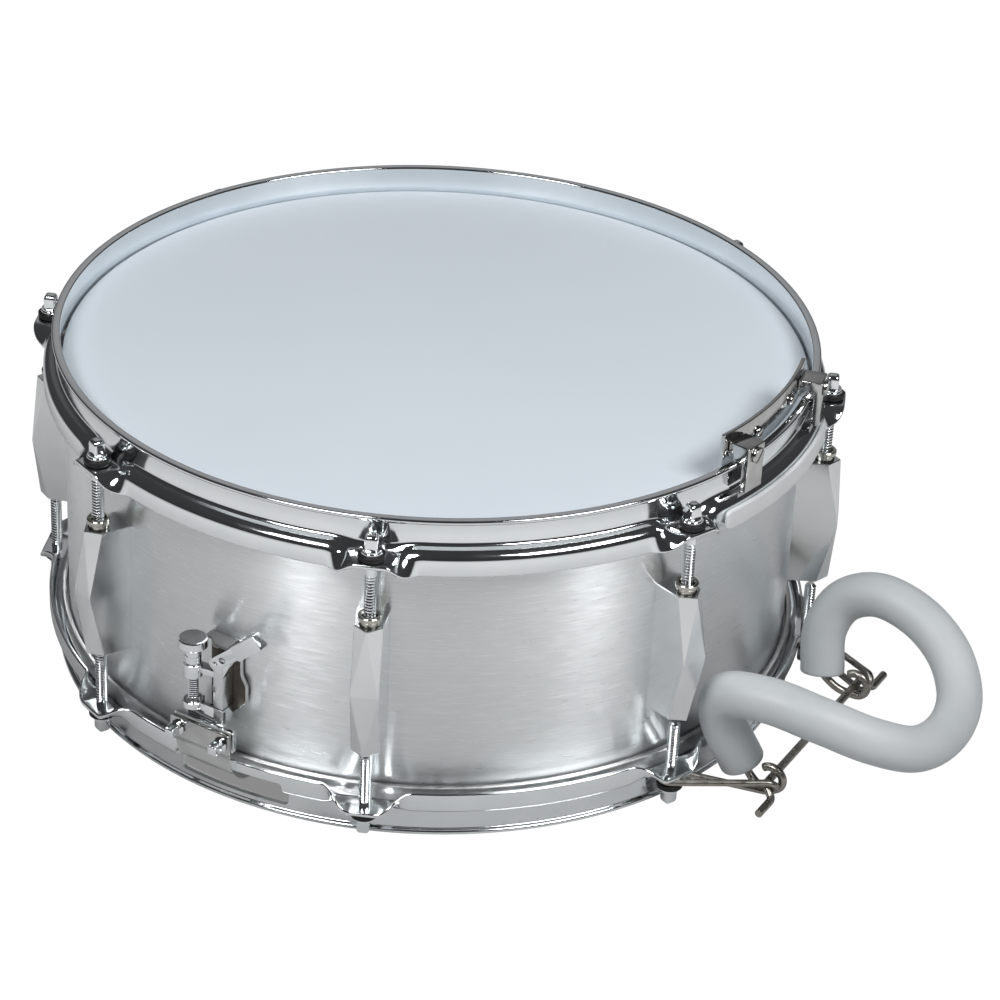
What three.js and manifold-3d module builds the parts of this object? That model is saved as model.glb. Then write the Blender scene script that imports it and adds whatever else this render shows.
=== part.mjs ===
// Marching snare drum, in millimetres, with +Z up and the origin at the centre of the batter head.
// +X points to the carry rail and the leg rest, and the snare strainer is near -Y.

import * as THREE from 'three';
import { mergeVertices } from 'three/addons/utils/BufferGeometryUtils.js';
import { ConvexGeometry } from 'three/addons/geometries/ConvexGeometry.js';
import Module from 'manifold-3d';

const wasm = await Module();
wasm.setup();

// Clearances shared by all pieces
const slip = 0.3;
const cutOverrun = 2;

// Shell
const shellRadius = 177.8;
const shellDepth = 139.7;
const shellWall = 1.6;
const shellEdge = 1.5;
const shellFlange = 6;
const roundSides = 48;

// Heads
const headFilm = 0.5;
const collarGap = 0.3;
const collarDepth = 9;

// Flesh hoops
const fleshWidth = 2.6;
const fleshHeight = 8;

// Counter hoops, as depths measured from the lip
const headToLip = 12.4;
const hoopClearance = 1.3;
const hoopWall = 2.2;
const lipReach = 1.9;
const lipThickness = 1.9;
const lipFillet = 0.7;
const wallDepth = 12.6;
const beadRun = 3.9;
const beadDepth = 14.2;
const skirtReach = 8.4;
const shoulderDepth = 16.6;
const skirtLength = 8.9;
const underDepth = 15.8;
const underRun = 4.3;
const underDrop = 0.7;
const skirtRoot = 1.6;

// Ears, where the skirt is folded out level round each rod
const earCount = 8;
const earDepth = 16.7;
const earWallDrop = 1;
const earFloorRun = 1.7;
const earFloorRise = 0.3;
const earFlatRun = 3.3;
const earUnderRun = 2.8;
const earUnderDrop = 0.7;
const earRootRun = 4.9;
const earHalfAngle = 6.4;
const earFlatAngle = 2.2;
const earStepShares = [-1, -0.6667, -0.2844, -0.1867, -0.0978, 0, 0.0978, 0.1867, 0.2844, 0.6667];

// Tension rods and their washers
const rodStandOff = 11.8;
const rodRadius = 2.8;
const rodLength = 44;
const rodPoint = 1.2;
const rodFlangeRadius = 4.4;
const rodFlangeHeight = 1.2;
const rodHeadSquare = 5.8;
const rodHeadHeight = 6.8;
const rodHole = 3.7;
const nylonRadius = 6.2;
const nylonHeight = 2.8;
const steelRadius = 5.4;
const steelHeight = 1;
const rodSides = 8;

// Lugs
const lugEndGap = 36.85;
const lugRootWidth = 15.4;
const lugFrontWidth = 13;
const lugCornerReach = 14.2;
const lugNoseReach = 19.6;
const lugRidgeReach = 21.4;
const lugBoreDepth = 15;
const nutBore = 3.3;
const nutNeckRadius = 4.3;
const nutNeck = 2.4;
const nutCollarRadius = 5.3;
const nutCollarHeight = 2.6;
const lugScrewSpacing = 30;
const lugScrewRadius = 2.4;
const lugScrewHole = 2.8;
const lugScrewHeadRadius = 4.6;
const lugScrewHeadHeight = 3;
const screwSides = 6;

// Snare strainer, seen from outside, with offsets from its centre line
const strainerAzimuth = -92.1;
const baseLeft = 1;
const baseRight = 15.8;
const tabRight = 18.7;
const tabLow = 9.7;
const tabHigh = 19;
const tabTop = 23.5;
const baseHeight = 42;
const baseThickness = 1.9;
const baseClip = 9;
const topFlangeRight = 13.7;
const topFlangeReach = 7.9;
const topFlangeThickness = 1.6;
const topFlangeNeck = 4;
const topFlangeClip = 4.5;
const railOffset = 8.7;
const railStemWidth = 1.4;
const railHeadWidth = 2.6;
const railStemDepth = 1.7;
const railHeadDepth = 2.3;
const weldOverlap = 0.4;
const sleeveWidth = 5.2;
const sleeveDepth = 8;
const yokeDrop = 11.2;
const yokeHeight = 22.8;
const sleeveGap = 1.2;
const carriageHeight = 7.5;
const knobOffset = -2.8;
const knobStandOff = 11;
const armLift = 15.4;
const armHeight = 3.2;
const armRootDepth = 4.4;
const yokeRingRadius = 4.4;
const yokeRingHeight = 6.7;
const screwBore = 3;
const knobScrewRadius = 2.5;
const knobNeckRadius = 3.8;
const knobNeckHeight = 8.3;
const knobRadius = 6.7;
const knobHeight = 4.8;
const knobChamfer = 0.5;
const knobScrewTail = 2;
const carriageLugRadius = 4.8;
const carriageLugHeight = 3.5;
const carriageLugLift = 2;
const carriagePlateThickness = 2.5;
const carriagePlateLeft = 8;
const carriagePlateLap = 2;
const carriagePlateHeight = 14;
const strainerScrewOffset = 2;
const strainerScrewTopDrop = 6;
const strainerScrewSpacing = 24;
const ringSides = 10;
const knobSides = 14;

// Strainer lever
const leverAngle = 42;
const leverPivotOffset = 8.7;
const pivotClear = 0.3;
const leverPinRadius = 1.5;
const leverPinHead = 2.3;
const leverPinHeadHeight = 0.8;
const leverLength = 33.6;
const leverWidth = 6.2;
const leverThickness = 2;
const leverRootShares = [[0.25, -0.5], [0.25, 0.5], [-0.2, 0.46], [-0.46, 0.2], [-0.46, -0.2], [-0.2, -0.46]];
const gripLength = 16.4;
const gripWidth = 7.4;
const gripDepth = 7.6;
const gripBevel = 1.2;
const drivePinOffset = 4.75;
const drivePinRise = 4;
const drivePinRadius = 1;
const driveArmEdge = 1.7;
const driveArmRoot = 7;
const driveArmThickness = 3;
const slotNear = 3.7;
const slotFar = 7.4;
const slotWidth = 3;

// Snare clamps, alike on the strainer and on the butt plate
const clampOffset = 2.2;
const clampWidth = 33;
const clampHeight = 11;
const clampLap = 6;
const clampGap = 6.5;
const clampBackThickness = 2.1;
const clampFrontThickness = 2;
const clampScrewSpacing = 24;
const clampScrewRadius = 2;
const clampScrewBore = 2.4;
const clampFlangeRadius = 3.7;
const clampFlangeHeight = 1;
const clampSquare = 4.8;
const clampSquareHeight = 6;

// Butt plate
const buttAzimuth = 92.1;
const buttWidth = 28;
const buttGap = 1.5;
const buttDrop = 14;
const buttThickness = 2;
const buttArmHeight = 4;
const buttScrewSpacing = 16;
const buttScrewDrop = 7;
const plateScrewReach = 0.6;

// Snare wires and straps
const strandCount = 16;
const strandPitch = 2.4;
const strandRadius = 0.9;
const strandInset = 27.8;
const endPlateLength = 9;
const endPlateDrop = 0.4;
const strapWidth = 30;
const strapThickness = 0.6;
const strapClear = 1;
const strapHole = 3.3;
const strapPathShares = [[1, 1.15], [0.93, 0.9], [0.72, 0.7], [0.3, 0.3], [0.08, 0.12], [-0.33, 0.07]];
const gateAzimuth = 91.7;
const gateHalfWidth = 28.8;
const gateNearDepth = 10.6;
const gateFarDepth = 20.5;

// Carry rail with its clamp posts, and the hoop guard
const railAzimuth = 1.5;
const railInset = 4.3;
const railThickness = 2;
const railHeight = 16;
const railAboveLip = 13;
const railHalfAngle = 14.5;
const railSteps = 12;
const postAngle = 11.5;
const postWidth = 12;
const postAboveLip = 9;
const postLegDrop = 13.4;
const postLegThickness = 3.5;
const postLegGap = 1.5;
const postScrewAboveLip = 4.4;
const postScrewRadius = 2;
const postScrewBore = 2.4;
const postScrewHeadRadius = 3.9;
const postScrewHeadHeight = 1.7;
const postScrewTail = 1.2;
const railScrewAngle = 5.7;
const railScrewHeadRadius = 2.6;
const railScrewHeadHeight = 1.7;
const railScrewRadius = 1.4;
const railScrewBore = 1.8;
const guardThickness = 2.3;
const guardHalfAngle = 15.8;
const guardTopDepth = 17.6;
const guardLip = 2.2;
const guardLipThickness = 1.5;
const guardSteps = 10;

// Leg rest: wire links, crossbar, bent core rod and rubber hose, as heights above the lower lip
const linkWire = 1.65;
const linkRootHalfWidth = 5;
const linkTipHalfWidth = 4.6;
const linkTipTwist = 60;
const linkTipShare = 0.2;
const linkArcSteps = 6;
const crossbarRadius = 1.9;
const crossbarStandOff = 25;
const crossbarRise = 14.2;
const crossbarHalfLength = 52.9;
const jogOut = 5.2;
const jogDown = 4.7;
const jogRun = 2.8;
const tailLength = 14;
const bendRun = 1;
const eyeRadius = 6;
const eyeInset = 6;
const eyeStartAngle = 130;
const eyeSteps = 8;
const coreRadius = 2;
const hoseRadius = 10.8;
const hoseBore = 3;
const hoseSides = 10;
const wireSides = 6;
const hoseSteps = 42;
const hoseReach = 66;
const hoseOverhang = 4.1;
const hoseRise = 66;
const hosePathShares = [
  [-0.238, -0.795, 0.252],
  [-0.379, -0.895, 0.602],
  [-0.345, -0.984, 0.855],
  [-0.021, -0.996, 0.947],
  [0.371, -0.932, 0.891],
  [0.702, -0.753, 0.762],
  [0.92, -0.43, 0.624],
  [0.997, 0.002, 0.588],
  [0.92, 0.43, 0.641],
  [0.697, 0.753, 0.782],
  [0.374, 0.932, 0.901],
  [0.027, 0.996, 0.925],
  [-0.218, 0.984, 0.79],
  [-0.312, 0.895, 0.565],
  [-0.262, 0.793, 0.245],
];
const shankShares = [[-0.085, 0.823, 0.124], [-0.156, 0.802, 0.157]];

// Materials, with the photographed colours
function finish(color, roughness, metalness) {
  return new THREE.MeshStandardMaterial({ color, roughness, metalness });
}
const chrome = finish(0xc9ccce, 0.12, 1);
const brushedAluminium = finish(0xbfc1c0, 0.42, 1);
const dullSteel = finish(0x7f7d76, 0.4, 1);
const blackNylon = finish(0x141416, 0.35, 0);
const coatedFilm = finish(0xd5dbe2, 0.55, 0);
const clearFilm = finish(0xd8dcdc, 0.3, 0);
const castAluminium = finish(0xb9bbbb, 0.5, 1);
const snareSteel = finish(0xb4b4b2, 0.3, 1);
const whiteRubber = finish(0xdfe2e2, 0.5, 0);
const greyHose = finish(0xc3c7ca, 0.55, 0);

// Levels worked out from the sizes above
const shellTop = -(headFilm + slip);
const shellBottom = shellTop - shellDepth;
const snareFace = shellBottom - slip - headFilm;
const middle = (shellTop + shellBottom) / 2;
const topLip = headToLip;
const bottomLip = snareFace - headToLip;
const hoopInner = shellRadius + hoopClearance;
const hoopOuterWall = hoopInner + hoopWall;
const skirtRadius = hoopInner + skirtReach;
const rodCircle = shellRadius + rodStandOff;
const lugHeight = shellDepth - 2 * lugEndGap;
const strandHalfLength = shellRadius - strandInset;
const crossbarReach = rodCircle + crossbarStandOff;
const eyeOffset = crossbarHalfLength - eyeInset;
const hoseSpread = crossbarHalfLength + hoseOverhang;
const lipRadius = hoopOuterWall + lipReach;
const sector = 360 / earCount;
const earAngles = Array.from({ length: earCount }, (_, k) => sector * (k + 0.5) - 180);
const topDown = (depth) => topLip - depth;
const bottomUp = (depth) => bottomLip + depth;
const flatShare = Math.cos(Math.PI / roundSides);
const screwSeat = (offset) => Math.sqrt(
  ((shellRadius - shellWall) * flatShare) ** 2 - (Math.abs(offset) + lugScrewHeadRadius) ** 2,
) - slip;
const plateInner = shellRadius + slip;
const lugScrewLevels = [-1, 1].map((up) => middle + (up * lugScrewSpacing) / 2);

// Strainer levels
const baseOuter = plateInner + baseThickness;
const railNeck = baseOuter + railStemDepth;
const railFace = railNeck + railHeadDepth;
const sleeveOuter = baseOuter + sleeveDepth;
const clampLow = bottomUp(shoulderDepth + skirtLength + clampGap);
const clampTop = clampLow + clampHeight;
const carriagePlateLow = clampTop - clampLap;
const carriagePlateTop = carriagePlateLow + carriagePlateHeight;
const carriageTop = carriagePlateTop;
const carriageLow = carriageTop - carriageHeight;
const carriageLugLow = carriagePlateTop - carriagePlateLap + carriageLugLift;
const yokeLow = carriageTop + sleeveGap;
const yokeTop = yokeLow + yokeHeight;
const armLow = yokeLow + armLift;
const yokeRingTop = armLow + yokeRingHeight;
const baseTop = yokeTop + yokeDrop;
const baseLow = baseTop - baseHeight;
const knobCentre = baseOuter + knobStandOff;
const leverInner = sleeveOuter + 2 * slip;
const leverOuter = leverInner + leverThickness;
const pivotLevel = yokeTop + pivotClear + leverPinRadius;
const strainerScrewLevels = [0, 1].map((k) => baseTop - strainerScrewTopDrop - k * strainerScrewSpacing);

// Clamp radii, shared by the strainer and the butt plate
const clampBack = sleeveOuter;
const clampBackOuter = clampBack + clampBackThickness;
const strapCentre = clampBackOuter + slip + strapThickness / 2;
const clampFront = strapCentre + strapThickness / 2 + slip;
const clampFrontOuter = clampFront + clampFrontThickness;
const clampMiddle = (clampTop + clampLow) / 2;

// Butt plate levels
const buttTop = clampTop + buttDrop + slip;
const fleshTop = underDepth + underDrop + slip;
const buttLow = bottomUp(fleshTop + fleshHeight + buttGap);
const buttOuter = plateInner + buttThickness;
const buttScrewLevel = buttTop - buttScrewDrop;
const buttScrewOffsets = [-1, 1].map((side) => (side * buttScrewSpacing) / 2);

const radians = THREE.MathUtils.degToRad;

// A solid whose faces all point outward
function outward(geometry) {
  geometry.deleteAttribute('uv');
  geometry.deleteAttribute('normal');
  const merged = mergeVertices(geometry);
  const position = merged.getAttribute('position');
  const index = merged.getIndex();
  const [a, b, c] = [new THREE.Vector3(), new THREE.Vector3(), new THREE.Vector3()];
  let volume = 0;
  for (let i = 0; i < index.count; i += 3) {
    a.fromBufferAttribute(position, index.getX(i));
    b.fromBufferAttribute(position, index.getX(i + 1));
    c.fromBufferAttribute(position, index.getX(i + 2));
    volume += a.dot(b.cross(c));
  }
  if (volume < 0) {
    for (let i = 0; i < index.count; i += 3) {
      const first = index.getX(i);
      index.setX(i, index.getX(i + 1));
      index.setX(i + 1, first);
    }
  }
  return merged;
}

// Conversion between three.js geometry and solids for cuts and joins
function solid(geometry) {
  const merged = outward(geometry.clone());
  const mesh = new wasm.Mesh({
    numProp: 3,
    vertProperties: new Float32Array(merged.getAttribute('position').array),
    triVerts: new Uint32Array(merged.getIndex().array),
  });
  return new wasm.Manifold(mesh);
}

function geometryOf(body) {
  const mesh = body.getMesh();
  const geometry = new THREE.BufferGeometry();
  geometry.setAttribute('position', new THREE.BufferAttribute(new Float32Array(mesh.vertProperties), 3));
  geometry.setIndex(new THREE.BufferAttribute(new Uint32Array(mesh.triVerts), 1));
  return geometry;
}

function cut(geometry, ...tools) {
  return geometryOf(tools.reduce((body, tool) => body.subtract(solid(tool)), solid(geometry)));
}

function join(...geometries) {
  return geometryOf(geometries.map(solid).reduce((body, next) => body.add(next)));
}

// A body through equal rings of points, with flat ends or closed on itself
function loft(rings, closed = false) {
  const count = rings[0].length;
  const position = rings.flat().flatMap((p) => [p.x, p.y, p.z]);
  const index = [];
  const bands = closed ? rings.length : rings.length - 1;
  for (let i = 0; i < bands; i += 1) {
    const next = (i + 1) % rings.length;
    for (let j = 0; j < count; j += 1) {
      const k = (j + 1) % count;
      index.push(i * count + j, i * count + k, next * count + k);
      index.push(i * count + j, next * count + k, next * count + j);
    }
  }
  if (!closed) {
    const last = (rings.length - 1) * count;
    for (let j = 1; j < count - 1; j += 1) {
      index.push(0, j + 1, j);
      index.push(last, last + j, last + j + 1);
    }
  }
  const geometry = new THREE.BufferGeometry();
  geometry.setAttribute('position', new THREE.Float32BufferAttribute(position, 3));
  geometry.setIndex(index);
  return outward(geometry);
}

// A round ring of points in a plane of constant height
function roundRing(radius, z, sides = rodSides) {
  return Array.from({ length: sides }, (_, i) => {
    const angle = (2 * Math.PI * i) / sides;
    return new THREE.Vector3(radius * Math.cos(angle), radius * Math.sin(angle), z);
  });
}

// A square ring with a point on each corner and each side's middle
function squareRing(width, z) {
  return Array.from({ length: 8 }, (_, i) => {
    const angle = (Math.PI * i) / 4;
    const reach = i % 2 ? width * Math.SQRT1_2 : width / 2;
    return new THREE.Vector3(reach * Math.cos(angle), reach * Math.sin(angle), z);
  });
}

// A turned body from a profile of radius and height
function turned(profile, sides = roundSides) {
  const points = profile.map(([radius, z]) => new THREE.Vector2(radius, z));
  if (profile[0][0] > 0) points.push(points[0].clone());
  return outward(new THREE.LatheGeometry(points, sides).rotateX(Math.PI / 2));
}

// A straight round bar along Z
function bar(radius, low, high, sides = rodSides) {
  return loft([roundRing(radius, low, sides), roundRing(radius, high, sides)]);
}

// A round bar along the radial line through a point at the given offset and height
function radialBar(radius, inner, outer, offset, z, sides = rodSides) {
  return bar(radius, inner, outer, sides).rotateX(Math.PI / 2).translate(offset, 0, z);
}

function shapeOf(points) {
  return new THREE.Shape(points.map(([x, y]) => new THREE.Vector2(x, y)));
}

// A plate drawn as seen from outside, between two radii
function facePlate(points, inner, outer) {
  const geometry = new THREE.ExtrudeGeometry(shapeOf(points), { depth: outer - inner, bevelEnabled: false });
  return outward(geometry.rotateX(Math.PI / 2).translate(0, -inner, 0));
}

// A plate drawn as seen from above, in offset and radius, between two heights
function levelPlate(points, low, high) {
  const mirrored = points.map(([offset, radius]) => [offset, -radius]);
  return outward(new THREE.ExtrudeGeometry(shapeOf(mirrored), { depth: high - low, bevelEnabled: false })
    .translate(0, 0, low));
}

// A plate drawn as seen from its side, in radius and height, between two offsets
function sidePlate(points, left, right) {
  const geometry = new THREE.ExtrudeGeometry(shapeOf(points), { depth: right - left, bevelEnabled: false });
  const basis = new THREE.Matrix4().makeBasis(
    new THREE.Vector3(0, -1, 0),
    new THREE.Vector3(0, 0, 1),
    new THREE.Vector3(-1, 0, 0),
  );
  return outward(geometry.applyMatrix4(basis).translate(right, 0, 0));
}

function rectangle(left, right, low, high) {
  return [[left, low], [right, low], [right, high], [left, high]];
}

// Rings of a round section along a list of points, level rings when closed on itself
function sweepRings(points, radius, sides, closed = false) {
  const up = new THREE.Vector3(0, 0, 1);
  const last = points.length - 1;
  let side = null;
  return points.map((point, i) => {
    const before = points[closed ? (i + last) % points.length : Math.max(i - 1, 0)];
    const after = points[closed ? (i + 1) % points.length : Math.min(i + 1, last)];
    const tangent = after.clone().sub(before).normalize();
    if (closed || !side) side = up;
    side = side.clone().addScaledVector(tangent, -side.dot(tangent)).normalize();
    const other = tangent.clone().cross(side);
    return Array.from({ length: sides }, (_, j) => {
      const angle = (2 * Math.PI * j) / sides;
      return point.clone().addScaledVector(side, radius * Math.cos(angle))
        .addScaledVector(other, radius * Math.sin(angle));
    });
  });
}

function wire(points, radius, closed = false) {
  return loft(sweepRings(points, radius, wireSides, closed), closed);
}

// A strip of given thickness along a path of radius and height
function ribbon(path, thickness) {
  const offset = (side) => path.map(([radius, z], i) => {
    const [r0, z0] = path[Math.max(i - 1, 0)];
    const [r1, z1] = path[Math.min(i + 1, path.length - 1)];
    const length = Math.hypot(r1 - r0, z1 - z0);
    const shift = (side * thickness) / 2 / length;
    return [radius + (z1 - z0) * shift, z - (r1 - r0) * shift];
  });
  return [...offset(1), ...offset(-1).reverse()];
}

// Turns a piece drawn with -Y outward to its place round the drum
function turnTo(geometry, azimuth) {
  return geometry.clone().rotateZ(radians(azimuth + 90));
}

// A hexagon screw from inside the shell, reaching out to the given radius
function insideScrew(reach, offset, z) {
  const seat = screwSeat(offset);
  return loft([
    roundRing(lugScrewHeadRadius, seat - lugScrewHeadHeight, screwSides),
    roundRing(lugScrewHeadRadius, seat, screwSides),
    roundRing(lugScrewRadius, seat, screwSides),
    roundRing(lugScrewRadius, reach, screwSides),
  ]).rotateX(Math.PI / 2).translate(offset, 0, z);
}

// Shell with flanged bearing edges
function shellGeometry() {
  const edge = (level, up) => [
    [shellRadius, level - up * shellEdge],
    [shellRadius - shellEdge, level],
    [shellRadius - shellFlange, level - up * (shellFlange - shellEdge)],
    [shellRadius - shellFlange, level - up * (shellFlange - shellEdge + shellWall * Math.SQRT2)],
    [shellRadius - shellWall, level - up * (shellEdge + shellWall)],
  ];
  const body = turned([...edge(shellBottom, -1).reverse(), ...edge(shellTop, 1)]);
  const hole = (angle, offset, z) => turnTo(
    radialBar(lugScrewHole, shellRadius - shellFlange, shellRadius + cutOverrun, offset, z, screwSides),
    angle,
  );
  const holes = [
    ...earAngles.flatMap((angle) => lugScrewLevels.map((z) => hole(angle, 0, z))),
    ...strainerScrewLevels.map((z) => hole(strainerAzimuth, strainerScrewOffset, z)),
    ...buttScrewOffsets.map((offset) => hole(buttAzimuth, offset, buttScrewLevel)),
  ];
  return cut(body, ...holes);
}

// A drum head: a flat film with a collar turned over the bearing edge
function headGeometry() {
  const inner = shellRadius + collarGap;
  return turned([
    [0, -headFilm],
    [inner, -headFilm],
    [inner, -collarDepth],
    [inner + headFilm, -collarDepth],
    [inner + headFilm, -headFilm],
    [inner, 0],
    [0, 0],
  ]);
}

// A flesh hoop round the head's collar, just under the counter hoop
const fleshInner = shellRadius + collarGap + headFilm + slip;

function fleshHoopGeometry(place) {
  const [low, high] = [place(fleshTop), place(fleshTop + fleshHeight)].sort((a, b) => a - b);
  return turned([
    [fleshInner, low],
    [fleshInner + fleshWidth, low],
    [fleshInner + fleshWidth, high],
    [fleshInner, high],
  ]);
}

// A triple-flanged counter hoop, whose skirt folds out to a level ear at each rod
function hoopProfile(fold) {
  const angle = (fold * Math.PI) / 2;
  const mix = (plain, ear) => plain + (ear - plain) * fold;
  const shoulder = [skirtRadius, mix(shoulderDepth, earDepth)];
  const tip = [shoulder[0] + skirtLength * Math.sin(angle), shoulder[1] + skirtLength * Math.cos(angle)];
  return [
    [hoopInner, 0],
    [lipRadius, 0],
    [lipRadius, lipThickness],
    [hoopOuterWall, lipThickness + lipFillet],
    [hoopOuterWall, mix(wallDepth, wallDepth + earWallDrop)],
    [hoopOuterWall + mix(beadRun, earFloorRun), mix(beadDepth, earDepth - earFloorRise)],
    [mix(shoulder[0], hoopOuterWall + earFlatRun), shoulder[1]],
    tip,
    [tip[0] - hoopWall * Math.cos(angle), tip[1] + hoopWall * Math.sin(angle)],
    [mix(skirtRadius - hoopWall, hoopInner + earRootRun), mix(shoulderDepth + skirtRoot, earDepth + hoopWall)],
    [hoopInner + mix(underRun, earUnderRun), underDepth + underDrop],
    [hoopInner, underDepth],
  ];
}

function smooth(x) {
  const t = Math.min(Math.max(x, 0), 1);
  return t * t * (3 - 2 * t);
}

function hoopGeometry(place, cuts) {
  const rings = earAngles.flatMap((ear) => earStepShares.map((share) => {
    const away = share * (sector / 2);
    const fold = smooth((earHalfAngle - Math.abs(away)) / (earHalfAngle - earFlatAngle));
    const angle = radians(ear + away);
    return hoopProfile(fold).map(([radius, depth]) => new THREE.Vector3(
      radius * Math.cos(angle),
      radius * Math.sin(angle),
      place(depth),
    ));
  }));
  const levels = [place(wallDepth), place(earDepth + skirtLength)].sort((a, b) => a - b);
  const hole = bar(rodHole, levels[0], levels[1]).translate(0, -rodCircle, 0);
  return cut(loft(rings, true), ...earAngles.map((angle) => turnTo(hole, angle)), ...cuts);
}

// The two snare gates in the lower hoop
function gateCuts() {
  const gate = facePlate(
    rectangle(-gateHalfWidth, gateHalfWidth, bottomUp(gateNearDepth), bottomUp(gateFarDepth)),
    hoopInner - beadRun,
    skirtRadius + cutOverrun,
  );
  return [gateAzimuth, gateAzimuth - 180].map((angle) => turnTo(gate, angle));
}

// A lug with a kite facet in front, cut away to a point above and below
function lugGeometry() {
  const half = lugHeight / 2;
  const back = shellRadius + slip;
  const corner = shellRadius + lugCornerReach;
  const points = [];
  [-1, 1].forEach((up) => {
    [-1, 1].forEach((side) => {
      points.push(new THREE.Vector3((side * lugRootWidth) / 2, -back, up * half));
      points.push(new THREE.Vector3((side * lugFrontWidth) / 2, -corner, up * half));
    });
    points.push(new THREE.Vector3(0, -(shellRadius + lugNoseReach), up * half));
    points.push(new THREE.Vector3((up * lugFrontWidth) / 2, -(shellRadius + lugRidgeReach), 0));
  });
  const nut = loft([
    roundRing(nutNeckRadius, half - weldOverlap),
    roundRing(nutNeckRadius, half + nutNeck),
    roundRing(nutCollarRadius, half + nutNeck),
    roundRing(nutCollarRadius, half + nutNeck + nutCollarHeight),
  ]).translate(0, -rodCircle, 0);
  const bores = [-1, 1].map((up) => bar(
    nutBore,
    up > 0 ? half - lugBoreDepth : -half - cutOverrun,
    up > 0 ? half + nutNeck + nutCollarHeight + cutOverrun : lugBoreDepth - half,
  ).translate(0, -rodCircle, 0));
  const screws = [-1, 1].map((up) => insideScrew(back + weldOverlap, 0, (up * lugScrewSpacing) / 2));
  return cut(join(new ConvexGeometry(points), nut, ...screws), ...bores).translate(0, 0, middle);
}

// A square-headed rod with its captive washers, drawn outward from the ear
function rodGeometry(drop) {
  const nylonLow = drop + slip;
  const nylonTop = nylonLow + nylonHeight;
  const steelTop = nylonTop + steelHeight;
  const flangeTop = steelTop + rodFlangeHeight;
  return loft([
    roundRing(rodRadius - rodPoint, steelTop - rodLength),
    roundRing(rodRadius, steelTop - rodLength + rodPoint),
    roundRing(rodRadius, nylonLow),
    roundRing(nylonRadius, nylonLow),
    roundRing(nylonRadius, nylonTop),
    roundRing(steelRadius, nylonTop),
    roundRing(steelRadius, steelTop),
    roundRing(rodFlangeRadius, steelTop),
    roundRing(rodFlangeRadius, flangeTop),
    squareRing(rodHeadSquare, flangeTop),
    squareRing(rodHeadSquare, flangeTop + rodHeadHeight),
  ]);
}

// Places a rod onto the outer face of a top or a bottom ear
function onTopEar(geometry) {
  return geometry.clone().translate(0, -rodCircle, topDown(earDepth));
}

function onBottomEar(geometry) {
  return geometry.clone().rotateX(Math.PI).translate(0, -rodCircle, bottomUp(earDepth));
}

const linkStack = 2 * linkWire + 2 * slip;
const rodDrops = earAngles.map((angle) => (Math.abs(angle) < sector ? linkStack : 0));

// Strainer base plate with its top flange and the T-shaped guide rail
function strainerBaseGeometry() {
  const plate = facePlate([
    [-baseLeft, baseLow],
    [tabRight - baseClip, baseLow],
    [tabRight, baseLow + tabLow],
    [tabRight, baseLow + tabHigh],
    [baseRight, baseLow + tabTop],
    [baseRight, baseTop],
    [-baseLeft, baseTop],
  ], plateInner, baseOuter);
  const flange = levelPlate([
    [-baseLeft, baseOuter - weldOverlap],
    [topFlangeRight, baseOuter - weldOverlap],
    [topFlangeRight, baseOuter + topFlangeReach],
    [topFlangeClip + topFlangeClip / 2, baseOuter + topFlangeReach],
    [topFlangeClip / 2, baseOuter + topFlangeNeck],
    [-baseLeft, baseOuter + topFlangeNeck],
  ], baseTop - topFlangeThickness, baseTop);
  const railTop = pivotLevel - leverPinRadius - 2 * slip;
  const railStem = facePlate(
    rectangle(railOffset - railStemWidth / 2, railOffset + railStemWidth / 2, baseLow, railTop),
    baseOuter - weldOverlap,
    railNeck + weldOverlap,
  );
  const railHead = facePlate(
    rectangle(railOffset - railHeadWidth / 2, railOffset + railHeadWidth / 2, baseLow, railTop),
    railNeck,
    railFace,
  );
  const screws = strainerScrewLevels.map((z) => insideScrew(baseOuter + plateScrewReach, strainerScrewOffset, z));
  const pinHole = radialBar(
    leverPinRadius + slip, plateInner - cutOverrun, baseOuter + cutOverrun, leverPivotOffset, pivotLevel,
  );
  return cut(join(plate, flange, railStem, railHead, ...screws), pinHole);
}

// The sliding sleeve that wraps the guide rail
function sleeveGeometry(low, high) {
  const outer = sleeveWidth / 2;
  const stem = railStemWidth / 2 + slip;
  const head = railHeadWidth / 2 + slip;
  const back = baseOuter + slip;
  const half = [
    [outer, sleeveOuter],
    [outer, back],
    [stem, back],
    [stem, railNeck - slip],
    [head, railNeck - slip],
    [head, railFace + slip],
  ];
  const mirrored = half.map(([offset, radius]) => [-offset, radius]).reverse();
  return levelPlate([...half, ...mirrored], low, high).translate(railOffset, 0, 0);
}

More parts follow.
